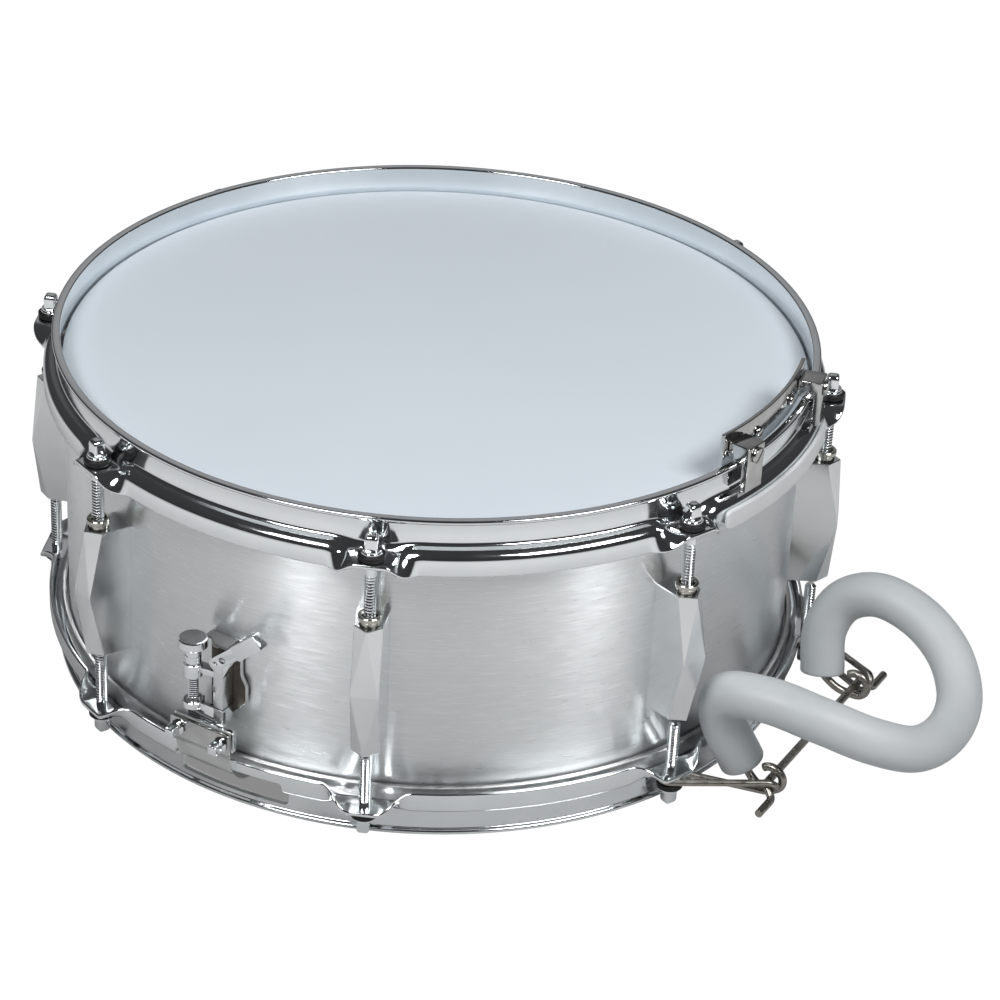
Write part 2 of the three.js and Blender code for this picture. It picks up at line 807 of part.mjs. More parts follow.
// Upper slide, which carries the tension knob and is driven by the lever
function yokeGeometry() {
  const root = railOffset - sleeveWidth / 2;
  const arm = levelPlate([
    [root + weldOverlap, sleeveOuter - armRootDepth],
    [root + weldOverlap, sleeveOuter],
    [knobOffset + yokeRingRadius, sleeveOuter + weldOverlap],
    [knobOffset, knobCentre + weldOverlap],
    [knobOffset - yokeRingRadius / 2, knobCentre],
    [knobOffset, sleeveOuter - armRootDepth],
  ], armLow, armLow + armHeight);
  const ring = bar(yokeRingRadius, armLow, yokeRingTop, ringSides).translate(knobOffset, -knobCentre, 0);
  const driveOffset = leverPivotOffset + drivePinOffset;
  const driveTop = pivotLevel + drivePinRise + driveArmEdge;
  const sleeveRight = railOffset + sleeveWidth / 2;
  const driveArm = facePlate([
    [sleeveRight - weldOverlap, yokeTop - driveArmRoot],
    [driveOffset + driveArmEdge, pivotLevel],
    [driveOffset + driveArmEdge, driveTop],
    [driveOffset - driveArmEdge, driveTop],
    [sleeveRight - weldOverlap, yokeTop - slip],
  ], sleeveOuter - driveArmThickness, sleeveOuter);
  const drive = radialBar(
    drivePinRadius, sleeveOuter - weldOverlap, leverOuter + slip,
    leverPivotOffset + drivePinOffset, pivotLevel + drivePinRise,
  );
  const bore = bar(screwBore, armLow - cutOverrun, yokeRingTop + cutOverrun).translate(knobOffset, -knobCentre, 0);
  return cut(join(sleeveGeometry(yokeLow, yokeTop), arm, ring, driveArm, drive), bore);
}

// Clamp bar behind the snare strap, and the holes for its screws
function clampBar(inner, outer) {
  return facePlate(
    rectangle(clampOffset - clampWidth / 2, clampOffset + clampWidth / 2, clampLow, clampTop), inner, outer,
  );
}

function clampHoles(radius, inner, outer) {
  return [-1, 1].map((side) => radialBar(
    radius, inner, outer, clampOffset + (side * clampScrewSpacing) / 2, clampMiddle,
  ));
}

// Lower slide, which holds the snare clamp and hangs on the knob's screw
function carriageGeometry() {
  const plate = facePlate(
    rectangle(-carriagePlateLeft, railOffset + sleeveWidth / 2, carriagePlateLow, carriagePlateTop),
    sleeveOuter - carriagePlateThickness,
    sleeveOuter,
  );
  const lug = bar(carriageLugRadius, carriageLugLow, carriageLugLow + carriageLugHeight, ringSides)
    .translate(knobOffset, -knobCentre, 0);
  const web = facePlate(
    rectangle(
      knobOffset - carriageLugRadius / 2, knobOffset + carriageLugRadius / 2,
      carriagePlateTop - carriagePlateLap, carriageLugLow + carriageLugHeight,
    ),
    sleeveOuter - carriagePlateThickness,
    sleeveOuter,
  );
  const lugTop = carriageLugLow + carriageLugHeight;
  const bore = bar(screwBore, carriageLugLow - cutOverrun, lugTop + cutOverrun).translate(knobOffset, -knobCentre, 0);
  const body = join(
    sleeveGeometry(carriageLow, carriageTop), plate, lug, web, clampBar(clampBack - weldOverlap, clampBackOuter),
  );
  return cut(body, bore, ...clampHoles(clampScrewBore, clampBack, clampBackOuter + cutOverrun));
}

// Tension knob in one piece with its screw
function knobGeometry() {
  const low = yokeRingTop + slip;
  const neckTop = low + knobNeckHeight;
  const top = neckTop + knobHeight;
  const ring = (radius, z) => roundRing(radius, z, knobSides);
  return loft([
    ring(knobScrewRadius, carriageLugLow - knobScrewTail),
    ring(knobScrewRadius, low),
    ring(knobNeckRadius, low),
    ring(knobNeckRadius, neckTop),
    ring(knobRadius - knobChamfer, neckTop),
    ring(knobRadius, neckTop + knobChamfer),
    ring(knobRadius, top - knobChamfer),
    ring(knobRadius - knobChamfer, top),
  ]).translate(knobOffset, -knobCentre, 0);
}

// Throw lever: a slotted strip with a rubber-shaped grip, turning on its pin
function leverPoint([along, across]) {
  const angle = radians(leverAngle);
  return [
    leverPivotOffset + along * Math.cos(angle) - across * Math.sin(angle),
    pivotLevel + along * Math.sin(angle) + across * Math.cos(angle),
  ];
}

function leverGeometry() {
  const half = leverWidth / 2;
  const root = leverRootShares.map(([along, across]) => [along * leverWidth, across * leverWidth]);
  const outline = [[leverLength - weldOverlap, -half], [leverLength - weldOverlap, half], ...root.slice(1), root[0]];
  const strip = facePlate(outline.map(leverPoint), leverInner, leverOuter);
  const centre = (leverInner + leverOuter) / 2;
  const corners = [];
  [0, 1].forEach((face) => [-1, 1].forEach((side) => {
    const inset = gripBevel * face;
    const ends = [leverLength - gripLength + inset, leverLength - inset];
    const across = (gripWidth / 2 - inset) * side;
    ends.forEach((along) => {
      const [offset, z] = leverPoint([along, across]);
      const reach = face ? gripDepth / 2 : gripDepth / 2 - gripBevel;
      corners.push(new THREE.Vector3(offset, -(centre + reach), z));
      corners.push(new THREE.Vector3(offset, -(centre - reach), z));
    });
  }));
  const slot = facePlate(
    rectangle(slotNear, slotFar, -slotWidth / 2, slotWidth / 2).map(leverPoint),
    leverInner - cutOverrun,
    leverOuter + cutOverrun,
  );
  const pinHole = radialBar(
    leverPinRadius + slip, leverInner - cutOverrun, leverOuter + cutOverrun, leverPivotOffset, pivotLevel,
  );
  return cut(join(strip, new ConvexGeometry(corners)), slot, pinHole);
}

function leverPinGeometry() {
  const neck = leverOuter + slip;
  return loft([
    roundRing(leverPinRadius, plateInner + slip),
    roundRing(leverPinRadius, neck),
    roundRing(leverPinHead, neck),
    roundRing(leverPinHead, neck + leverPinHeadHeight),
  ]).rotateX(Math.PI / 2).translate(leverPivotOffset, 0, pivotLevel);
}

// Outer clamp plate and its two square-headed screws
function clampPlateGeometry() {
  return cut(
    clampBar(clampFront, clampFrontOuter),
    ...clampHoles(clampScrewBore, clampFront - cutOverrun, clampFrontOuter + cutOverrun),
  );
}

function clampScrewGeometry(side) {
  const seat = clampFrontOuter + slip;
  return loft([
    roundRing(clampScrewRadius, clampBack + slip),
    roundRing(clampScrewRadius, seat),
    roundRing(clampFlangeRadius, seat),
    roundRing(clampFlangeRadius, seat + clampFlangeHeight),
    squareRing(clampSquare, seat + clampFlangeHeight),
    squareRing(clampSquare, seat + clampFlangeHeight + clampSquareHeight),
  ]).rotateX(Math.PI / 2).translate(clampOffset + (side * clampScrewSpacing) / 2, 0, clampMiddle);
}

// Butt bracket: a plate on the shell with an arm out to its clamp bar
function buttBracketGeometry() {
  const armTop = clampTop;
  const profile = [
    [plateInner, buttLow],
    [buttOuter, buttLow],
    [buttOuter, armTop - buttArmHeight],
    [clampBack + weldOverlap, armTop - buttArmHeight],
    [clampBack + weldOverlap, armTop],
    [buttOuter, armTop],
    [buttOuter, buttTop],
    [plateInner, buttTop],
  ];
  const screws = buttScrewOffsets.map((offset) => insideScrew(buttOuter + plateScrewReach, offset, buttScrewLevel));
  const body = join(
    sidePlate(profile, -buttWidth / 2, buttWidth / 2),
    clampBar(clampBack, clampBackOuter),
    ...screws,
  );
  return cut(body, ...clampHoles(clampScrewBore, clampBack - cutOverrun, clampBackOuter + cutOverrun));
}

// Snare wires: straight strands soldered to a flat plate at each end
const strandLevel = snareFace - slip - strandRadius;
const strapLevel = strandLevel - strandRadius - endPlateDrop - slip - strapThickness / 2;
const strandLine = strandHalfLength * Math.cos(radians(strainerAzimuth));

function snareWireGeometry() {
  const end = strandHalfLength - slip;
  const strand = bar(strandRadius, -end, end, wireSides).rotateX(Math.PI / 2);
  const strands = Array.from({ length: strandCount }, (_, i) => strand.clone()
    .translate((i - (strandCount - 1) / 2) * strandPitch, 0, strandLevel));
  const half = (strandCount * strandPitch) / 2;
  const plates = [-1, 1].map((side) => levelPlate(
    rectangle(
      -half, half,
      side * strandHalfLength - (side > 0 ? endPlateLength : 0),
      side * strandHalfLength + (side > 0 ? 0 : endPlateLength),
    ),
    strandLevel - strandRadius - endPlateDrop,
    strandLevel,
  ));
  return join(...strands, ...plates).translate(strandLine, 0, 0);
}

// A strap from the clamp round the skirt, through the gate and under the end plate
function strapGeometry() {
  const reach = skirtRadius + strapClear - hoopInner;
  const rise = gateFarDepth - gateNearDepth;
  const path = [
    [strapCentre, clampTop],
    [strapCentre, clampLow],
    ...strapPathShares.map(([across, up]) => [hoopInner + across * reach, bottomUp(gateNearDepth + up * rise)]),
    [strandHalfLength, strapLevel],
    [strandHalfLength - endPlateLength + slip, strapLevel],
  ];
  const strap = sidePlate(
    ribbon(path, strapThickness), clampOffset - strapWidth / 2, clampOffset + strapWidth / 2,
  );
  return cut(strap, ...clampHoles(strapHole, clampBackOuter - slip, clampFront + slip));
}

// An arc of given section round the drum, its first corner seeing all the others
function arcBody(section, azimuth, halfAngle, steps) {
  return loft(Array.from({ length: steps + 1 }, (_, i) => {
    const angle = radians(azimuth - halfAngle + (2 * halfAngle * i) / steps);
    return section.map(([radius, z]) => new THREE.Vector3(
      radius * Math.cos(angle),
      radius * Math.sin(angle),
      z,
    ));
  }));
}

// Carry rail inside the upper hoop
const railInner = hoopInner - railInset;
const railOuter = railInner + railThickness;
const railTop = topLip + railAboveLip;
const postInner = railOuter + slip;
const postLegInner = lipRadius + postLegGap;
const postOuter = postLegInner + postLegThickness;
const postScrewLevel = topLip + postScrewAboveLip;
const postAzimuths = [-1, 1].map((side) => railAzimuth + side * postAngle);
const railScrewAzimuths = [-1, 1].map((side) => railAzimuth + side * railScrewAngle);

function carryRailGeometry() {
  const section = rectangle(railInner, railOuter, railTop - railHeight, railTop);
  const hole = (radius) => radialBar(radius, railInner - cutOverrun, railOuter + cutOverrun, 0, postScrewLevel);
  return cut(
    arcBody(section, railAzimuth, railHalfAngle, railSteps),
    ...postAzimuths.map((angle) => turnTo(hole(postScrewBore), angle)),
    ...railScrewAzimuths.map((angle) => turnTo(hole(railScrewBore), angle)),
  );
}

// Clamp posts that hook over the upper hoop
function postGeometry() {
  const profile = [
    [postInner, topLip + slip],
    [postLegInner, topLip + slip],
    [postLegInner, topLip - postLegDrop],
    [postOuter, topLip - postLegDrop],
    [postOuter, topLip + postAboveLip],
    [postInner, topLip + postAboveLip],
  ];
  const hole = radialBar(postScrewBore, postInner - cutOverrun, postOuter + cutOverrun, 0, postScrewLevel);
  return cut(sidePlate(profile, -postWidth / 2, postWidth / 2), hole);
}

function headedScrew(radius, headRadius, tip, seat, headHeight) {
  return loft([
    roundRing(radius, tip),
    roundRing(radius, seat),
    roundRing(headRadius, seat),
    roundRing(headRadius, seat + headHeight),
  ]).rotateX(Math.PI / 2).translate(0, 0, postScrewLevel);
}

const screwTip = railInner - postScrewTail;
const postScrew = headedScrew(
  postScrewRadius, postScrewHeadRadius, screwTip, postOuter + slip, postScrewHeadHeight,
);
const railScrew = headedScrew(
  railScrewRadius, railScrewHeadRadius, screwTip, railOuter + slip, railScrewHeadHeight,
);

// White guard clipped over the skirt of the upper hoop
function hoopGuardGeometry() {
  const inner = skirtRadius + slip;
  const lipTop = topDown(shoulderDepth + skirtLength + slip);
  return arcBody([
    [inner, lipTop],
    [inner, topDown(guardTopDepth)],
    [inner + guardThickness, topDown(guardTopDepth)],
    [inner + guardThickness, lipTop - guardLipThickness],
    [inner - guardLip, lipTop - guardLipThickness],
    [inner - guardLip, lipTop],
  ], 0, guardHalfAngle, guardSteps);
}

// A closed wire link from a lower rod to the jog of the crossbar
function linkGeometry(side) {
  const angle = radians((side * sector) / 2);
  const root = new THREE.Vector3(
    rodCircle * Math.cos(angle),
    rodCircle * Math.sin(angle),
    bottomUp(earDepth - 1.5 * slip - linkWire),
  );
  const tip = new THREE.Vector3(
    crossbarReach + linkTipShare * jogOut,
    side * (crossbarHalfLength + linkTipShare * jogRun),
    bottomUp(crossbarRise - linkTipShare * jogDown),
  );
  const along = tip.clone().sub(root).normalize();
  const level = new THREE.Vector3(0, 0, 1).cross(along).multiplyScalar(side).normalize();
  const twisted = level.clone().applyAxisAngle(along, side * radians(linkTipTwist));
  const arc = (centre, across, halfWidth, from) => Array.from({ length: linkArcSteps + 1 }, (_, i) => {
    const turn = Math.PI * (from + i / linkArcSteps);
    return centre.clone().addScaledVector(across, halfWidth * Math.cos(turn))
      .addScaledVector(along, halfWidth * Math.sin(turn));
  });
  const points = [...arc(tip, twisted, linkTipHalfWidth, 0), ...arc(root, level, linkRootHalfWidth, 1)];
  return wire(points, linkWire, true);
}

// Crossbar with a jog and a free tail at each end
function crossbarGeometry() {
  const half = (side) => {
    const point = (out, run, down) => new THREE.Vector3(
      crossbarReach + out,
      side * (crossbarHalfLength + run),
      bottomUp(crossbarRise - down),
    );
    return [
      point(0, -bendRun, 0),
      point(0, 0, 0),
      point(jogOut, jogRun, jogDown),
      point(jogOut, jogRun + bendRun, jogDown),
      point(jogOut, jogRun + tailLength, jogDown),
    ];
  };
  return wire([...half(-1).reverse(), ...half(1)], crossbarRadius);
}

// Centre line of the hose, and of the rod that runs through it to an eye at each end
const legPoint = ([out, across, up]) => new THREE.Vector3(
  crossbarReach + out * hoseReach,
  across * hoseSpread,
  bottomUp(up * hoseRise),
);
const hoseLine = new THREE.CatmullRomCurve3(hosePathShares.map(legPoint), false, 'centripetal').getPoints(hoseSteps);

function hoseGeometry() {
  const outer = sweepRings(hoseLine, hoseRadius, hoseSides);
  const inner = sweepRings(hoseLine, hoseBore, hoseSides);
  return loft([...outer, ...inner.reverse()], true);
}

function coreRodGeometry() {
  const eye = (side) => Array.from({ length: eyeSteps + 1 }, (_, i) => {
    const angle = radians(eyeStartAngle - ((eyeStartAngle + 90) * i) / eyeSteps);
    return new THREE.Vector3(
      crossbarReach + eyeRadius * Math.cos(angle),
      side * eyeOffset,
      bottomUp(crossbarRise) + eyeRadius * Math.sin(angle),
    );
  });
  const shank = (side) => shankShares.map(([out, across, up]) => legPoint([out, side * across, up]));
  return wire([
    ...eye(-1),
    ...shank(-1),
    ...hoseLine,
    ...shank(1).reverse(),
    ...eye(1).reverse(),
  ], coreRadius);
}

// Assembly, with one named mesh for each physical piece
const group = new THREE.Group();
group.name = 'marching_snare_drum';

function add(name, geometry, material) {
  const mesh = new THREE.Mesh(outward(geometry), material);
  mesh.name = name;
  group.add(mesh);
}

const onStrainer = (geometry) => turnTo(geometry, strainerAzimuth);
const onButt = (geometry) => turnTo(geometry, buttAzimuth);

add('shell', shellGeometry(), brushedAluminium);
add('batter_head', headGeometry(), coatedFilm);
add('batter_flesh_hoop', fleshHoopGeometry(topDown), castAluminium);
add('top_hoop', hoopGeometry(topDown, []), chrome);
add('snare_side_head', headGeometry().rotateX(Math.PI).translate(0, 0, snareFace), clearFilm);
add('snare_flesh_hoop', fleshHoopGeometry(bottomUp), castAluminium);
add('bottom_hoop', hoopGeometry(bottomUp, gateCuts()), chrome);

const lug = lugGeometry();
const topRod = onTopEar(rodGeometry(0));
earAngles.forEach((angle, k) => {
  add(`lug_${k + 1}`, turnTo(lug, angle), chrome);
  add(`top_rod_${k + 1}`, turnTo(topRod, angle), chrome);
  add(`bottom_rod_${k + 1}`, turnTo(onBottomEar(rodGeometry(rodDrops[k])), angle), chrome);
});

add('strainer_base', onStrainer(strainerBaseGeometry()), castAluminium);
add('strainer_yoke', onStrainer(yokeGeometry()), chrome);
add('strainer_carriage', onStrainer(carriageGeometry()), chrome);
add('strainer_knob', onStrainer(knobGeometry()), chrome);
add('strainer_lever', onStrainer(leverGeometry()), chrome);
add('strainer_lever_pin', onStrainer(leverPinGeometry()), dullSteel);
add('strainer_clamp_plate', onStrainer(clampPlateGeometry()), chrome);
add('strainer_strap', onStrainer(strapGeometry()), clearFilm);

add('snare_wires', snareWireGeometry(), snareSteel);
add('butt_bracket', onButt(buttBracketGeometry()), castAluminium);
add('butt_clamp_plate', onButt(clampPlateGeometry()), chrome);
add('butt_strap', onButt(strapGeometry()), clearFilm);

add('carry_rail', carryRailGeometry(), dullSteel);
add('hoop_guard', hoopGuardGeometry(), whiteRubber);
[-1, 1].forEach((side, k) => {
  add(`strainer_clamp_screw_${k + 1}`, onStrainer(clampScrewGeometry(side)), chrome);
  add(`butt_clamp_screw_${k + 1}`, onButt(clampScrewGeometry(side)), chrome);
  add(`carry_post_${k + 1}`, turnTo(postGeometry(), postAzimuths[k]), dullSteel);
  add(`carry_post_screw_${k + 1}`, turnTo(postScrew, postAzimuths[k]), dullSteel);
  add(`carry_rail_screw_${k + 1}`, turnTo(railScrew, railScrewAzimuths[k]), dullSteel);
  add(`leg_rest_link_${k + 1}`, linkGeometry(side), dullSteel);
});

add('leg_rest_crossbar', crossbarGeometry(), dullSteel);
add('leg_rest_rod', coreRodGeometry(), dullSteel);
add('leg_rest_hose', hoseGeometry(), greyHose);

export default group;
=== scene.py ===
import bpy
import bmesh
from math import atan2, cos, hypot, pi, radians, sin
from mathutils import Matrix, Vector


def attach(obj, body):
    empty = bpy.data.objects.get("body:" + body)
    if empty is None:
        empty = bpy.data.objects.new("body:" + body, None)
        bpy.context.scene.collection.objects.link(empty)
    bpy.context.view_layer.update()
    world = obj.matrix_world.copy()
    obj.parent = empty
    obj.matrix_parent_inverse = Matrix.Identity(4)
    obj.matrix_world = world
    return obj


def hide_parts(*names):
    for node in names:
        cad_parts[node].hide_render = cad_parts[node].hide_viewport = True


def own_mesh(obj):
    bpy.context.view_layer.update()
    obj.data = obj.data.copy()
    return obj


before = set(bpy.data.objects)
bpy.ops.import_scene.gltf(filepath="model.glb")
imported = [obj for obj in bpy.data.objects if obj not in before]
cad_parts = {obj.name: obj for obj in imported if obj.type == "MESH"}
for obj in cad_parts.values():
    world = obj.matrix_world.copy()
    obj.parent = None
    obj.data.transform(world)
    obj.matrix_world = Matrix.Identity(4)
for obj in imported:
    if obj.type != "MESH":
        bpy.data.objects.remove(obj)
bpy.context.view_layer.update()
SCENE = bpy.context.scene

# Driving sizes in mm; z counts from the batter head's playing surface, azimuths are in degrees
MM = 0.001
LIP = 12.4
LOW = -153.7
HEAD_TOP = 0
SNARE_HEAD = -141.3
SHELL_RADIUS = 177.8
SHELL_TOP = -0.8
SHELL_BOTTOM = -140.5
LUG_MIDDLE = -70.65
ROD_CIRCLE = 189.6
EAR_FACE = 16.7
EARS = [45 * (k + 0.5) - 180 for k in range(8)]
STRAINER_AZ = -92.1
BUTT_AZ = 92.1


def above(height):
    """The row's z of a height above the lower hoop's lip."""
    return LOW + height


# Materials
def principled(name):
    material = bpy.data.materials.new(name)
    material.use_nodes = True
    nt = material.node_tree
    return material, nt, nt.nodes["Principled BSDF"]


def node(nt, kind, **values):
    """A new node, with inputs or settings given by name."""
    n = nt.nodes.new(kind)
    for key, value in values.items():
        if key in n.inputs:
            n.inputs[key].default_value = value
        else:
            setattr(n, key, value)
    return n


def noise(nt, scale, detail=3.0, stretch=(1, 1, 1), rough=0.5):
    where = node(nt, "ShaderNodeTexCoord")
    mapping = node(nt, "ShaderNodeMapping", Scale=stretch)
    nt.links.new(where.outputs["Object"], mapping.inputs["Vector"])
    n = node(nt, "ShaderNodeTexNoise", Scale=scale, Detail=detail, Roughness=rough)
    nt.links.new(mapping.outputs["Vector"], n.inputs["Vector"])
    return n.outputs["Fac"]


def spread(nt, value, low, high, start=0.3, stop=0.7):
    """A value from start to stop, spread from low to high."""
    n = node(nt, "ShaderNodeMapRange")
    for key, number in (("From Min", start), ("From Max", stop), ("To Min", low), ("To Max", high)):
        n.inputs[key].default_value = number
    nt.links.new(value, n.inputs["Value"])
    return n.outputs["Result"]


def ramp(nt, value, tones):
    """A colour for a value, from a list of positions and colours."""
    n = node(nt, "ShaderNodeValToRGB")
    elements = n.color_ramp.elements
    for element, (position, colour) in zip(elements, (tones[0], tones[-1])):
        element.position = position
        element.color = (*colour, 1)
    for position, colour in tones[1:-1]:
        elements.new(position).color = (*colour, 1)
    nt.links.new(value, n.inputs["Fac"])
    return n.outputs["Color"]


def tint(nt, value, dark, light, start=0.3, stop=0.7):
    """A colour between dark and light for a value from start to stop."""
    return ramp(nt, value, [(start, dark), (stop, light)])


def bump(nt, shader, height, strength, distance):
    n = node(nt, "ShaderNodeBump", Strength=strength, Distance=distance)
    nt.links.new(height, n.inputs["Height"])
    nt.links.new(n.outputs["Normal"], shader.inputs["Normal"])


def patchy(name, dark, light, rough, vary, scale):
    """A material whose tone and roughness vary a little over the surface."""
    material, nt, shader = principled(name)
    patches = noise(nt, scale, 4.0)
    nt.links.new(tint(nt, patches, dark, light), shader.inputs["Base Color"])
    nt.links.new(spread(nt, patches, rough - vary, rough + vary), shader.inputs["Roughness"])
    return material, nt, shader


def metal(name, dark, light, rough, vary=0.02, scale=90, bumps=0.0, metallic=1.0):
    material, nt, shader = patchy(name, dark, light, rough, vary, scale)
    shader.inputs["Metallic"].default_value = metallic
    if bumps:
        bump(nt, shader, noise(nt, scale * 6, 3.0), bumps, 0.0002)
    return material


CHROME = metal("chrome", (0.86, 0.89, 0.905), (0.91, 0.935, 0.95), 0.085, 0.03, 60)
SATIN = metal("satin_chrome", (0.72, 0.745, 0.755), (0.82, 0.84, 0.85), 0.26, 0.05, 60)
LUG_CHROME = metal("lug_chrome", (0.76, 0.78, 0.79), (0.86, 0.875, 0.88), 0.15, 0.06, 45, 0.03)
NICKEL = metal("nickel", (0.46, 0.45, 0.41), (0.58, 0.57, 0.53), 0.16, 0.04, 120)
STEEL = metal("dull_steel", (0.33, 0.31, 0.28), (0.47, 0.45, 0.42), 0.3, 0.08, 180, 0.25)
RAIL = metal("rail_steel", (0.5, 0.5, 0.49), (0.64, 0.645, 0.64), 0.16, 0.05, 120, 0.06)
CAST = metal("cast_aluminium", (0.6, 0.6, 0.6), (0.7, 0.7, 0.7), 0.34, 0.06, 200, 0.15)
# painted reflection: the flange and the knob's top take this dark grey for the dark studio their metal
# reflects
PAINTED_DARK_REFLECTION = (0.13, 0.133, 0.137), (0.18, 0.183, 0.187)
FLANGE = metal("flange_painted_dark", *PAINTED_DARK_REFLECTION, 0.5, 0.05, 90, 0.05, metallic=0.25)
PLATE = metal("base_plate", (0.6, 0.61, 0.61), (0.72, 0.73, 0.73), 0.2, 0.05, 120, 0.06)
# painted reflection: the knob's top faces take a dark grey in place of the chrome's reflection of the dark
# studio
KNOB_TOP = metal("knob_top_painted_dark", *PAINTED_DARK_REFLECTION, 0.45, 0.05, 200, 0.05, metallic=0.3)
# painted shade: a dark copy of the base plate's metal for the tab's outward face, standing in for the dark
# reflection it shows
TAB_PAINTED_SHADE = metal("tab_painted_shade", (0.05, 0.042, 0.034), (0.1, 0.09, 0.075), 0.25, 0.05, 60, metallic=0.6)
WIRE = metal("snare_steel", (0.62, 0.62, 0.61), (0.74, 0.74, 0.73), 0.22, 0.05, 200)


def brushed_shell():
    """Aluminium brushed round the shell: long fine lines, short bright dashes and broad patches."""
    material, nt, shader = principled("brushed_shell")
    shader.inputs["Metallic"].default_value = 1.0
    fine = noise(nt, 6, 5.0, (1.2, 1.2, 420), 0.65)
    dashes = noise(nt, 6, 3.0, (14, 14, 230), 0.6)
    broad = noise(nt, 7, 2.0, (1, 1, 3.5))
    total = node(nt, "ShaderNodeMath", operation="ADD")
    mean = node(nt, "ShaderNodeMath", operation="MULTIPLY")
    mean.inputs[1].default_value = 0.5
    nt.links.new(fine, total.inputs[0])
    nt.links.new(broad, total.inputs[1])
    nt.links.new(total.outputs[0], mean.inputs[0])
    tone = tint(nt, mean.outputs[0], (0.74, 0.765, 0.775), (0.83, 0.85, 0.86), 0.35, 0.65)
    glint = node(nt, "ShaderNodeMix", data_type="RGBA", blend_type="ADD")
    nt.links.new(spread(nt, dashes, 0.0, 0.1, 0.5, 0.75), glint.inputs["Factor"])
    nt.links.new(tone, glint.inputs["A"])
    glint.inputs["B"].default_value = (1, 1, 1, 1)
    nt.links.new(glint.outputs["Result"], shader.inputs["Base Color"])
    nt.links.new(spread(nt, dashes, 0.27, 0.36), shader.inputs["Roughness"])
    shader.inputs["Anisotropic"].default_value = 0.85
    shader.inputs["Anisotropic Rotation"].default_value = 0.25
    tangent = node(nt, "ShaderNodeTangent", direction_type="RADIAL", axis="Z")
    nt.links.new(tangent.outputs["Tangent"], shader.inputs["Tangent"])
    bump(nt, shader, fine, 0.035, 0.0001)
    return material


def coated_film():
    """The batter head's coating: a fine grain on a faintly cloudy film."""
    material, nt, shader = principled("coated_film")
    grain = noise(nt, 1400, 2.0)
    cloud = noise(nt, 9, 3.0)
    nt.links.new(tint(nt, cloud, (0.68, 0.745, 0.81), (0.70, 0.765, 0.83)), shader.inputs["Base Color"])
    nt.links.new(spread(nt, grain, 0.42, 0.58), shader.inputs["Roughness"])
    bump(nt, shader, grain, 0.25, 0.0001)
    return material


def plastic(name, dark, light, rough, scale, bumps, transmission=0.0):
    material, nt, shader = patchy(name, dark, light, rough, 0.05, scale)
    shader.inputs["Transmission Weight"].default_value = transmission
    bump(nt, shader, noise(nt, scale * 14, 2.0), bumps, 0.0002)
    return material


SHELL = brushed_shell()
FILM = coated_film()
CLEAR = plastic("clear_film", (0.72, 0.74, 0.74), (0.78, 0.8, 0.8), 0.25, 30, 0.02, 0.35)
STRAP = plastic("strap_film", (0.74, 0.76, 0.75), (0.8, 0.81, 0.8), 0.14, 40, 0.04, 0.6)
NYLON = plastic("black_nylon", (0.008, 0.008, 0.009), (0.02, 0.02, 0.021), 0.45, 90, 0.1)
NYLON.node_tree.nodes["Principled BSDF"].inputs["Specular IOR Level"].default_value = 0.25
HOSE = plastic("grey_hose", (0.49, 0.52, 0.54), (0.55, 0.575, 0.59), 0.45, 25, 0.25)
GUARD = plastic("white_guard", (0.66, 0.68, 0.69), (0.73, 0.75, 0.76), 0.35, 40, 0.1)


# Meshes and their finish
def azim(point, azimuth):
    """A point drawn with outward along -Y, turned to an azimuth."""
    a = radians(azimuth + 90)
    x, y, z = point
    return (x * cos(a) - y * sin(a), x * sin(a) + y * cos(a), z)


def smooth_angle(me, degrees):
    """Outward normals, and smooth shading except at edges sharper than the angle."""
    bm = bmesh.new()
    bm.from_mesh(me)
    bmesh.ops.recalc_face_normals(bm, faces=bm.faces)
    for f in bm.faces:
        f.smooth = True
    limit = radians(degrees)
    for e in bm.edges:
        e.smooth = not (len(e.link_faces) == 2 and e.calc_face_angle(0) > limit)
    bm.to_mesh(me)
    bm.free()


def added(name, me):
    """A mesh as an object of the scene."""
    o = bpy.data.objects.new(name, me)
    SCENE.collection.objects.link(o)
    return o


def mesh(name, verts, faces, mats, slot=None, angle=35, indices=None):
    """An object from points in mm, its faces and one material or several; the slot's name is not used."""
    me = bpy.data.meshes.new(name)
    me.from_pydata([(x * MM, y * MM, z * MM) for x, y, z in verts], [], faces)
    me.update()
    for m in mats if isinstance(mats, (list, tuple)) else [mats]:
        me.materials.append(m)
    if indices:
        me.polygons.foreach_set("material_index", indices)
    smooth_angle(me, angle)
    return added(name, me)


def put(o, body, *nodes):
    """Rides an object on a body, in place of the CAD nodes named."""
    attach(o, body)
    if nodes:
        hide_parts(*nodes)
    return o


def bake(o):
    """Applies an object's modifiers."""
    deps = bpy.context.evaluated_depsgraph_get()
    me = bpy.data.meshes.new_from_object(o.evaluated_get(deps), depsgraph=deps)
    o.modifiers.clear()
    old = o.data
    o.data = me
    me.name = old.name
    bpy.data.meshes.remove(old)


def bevelled(o, width, segments=2, angle=30):
    """Rounds an object's edges that are sharper than the angle, by a width in mm."""
    b = o.modifiers.new("edges", "BEVEL")
    b.width = width * MM
    b.segments = segments
    b.limit_method = "ANGLE"
    b.angle_limit = radians(angle)
    b.harden_normals = False
    bake(o)
    smooth_angle(o.data, 32)
    return o


def carve(o, *cutters):
    """Cuts the cutters out of an object and removes them."""
    for c in cutters:
        b = o.modifiers.new("cut", "BOOLEAN")
        b.operation = "DIFFERENCE"
        b.solver = "EXACT"
        b.object = c
    bake(o)
    for c in cutters:
        me = c.data
        bpy.data.objects.remove(c)
        bpy.data.meshes.remove(me)
    return o


def turned(solid, az):
    """A solid drawn with outward along -Y, turned to an azimuth."""
    verts, faces = solid
    return [azim(p, az) for p in verts], faces


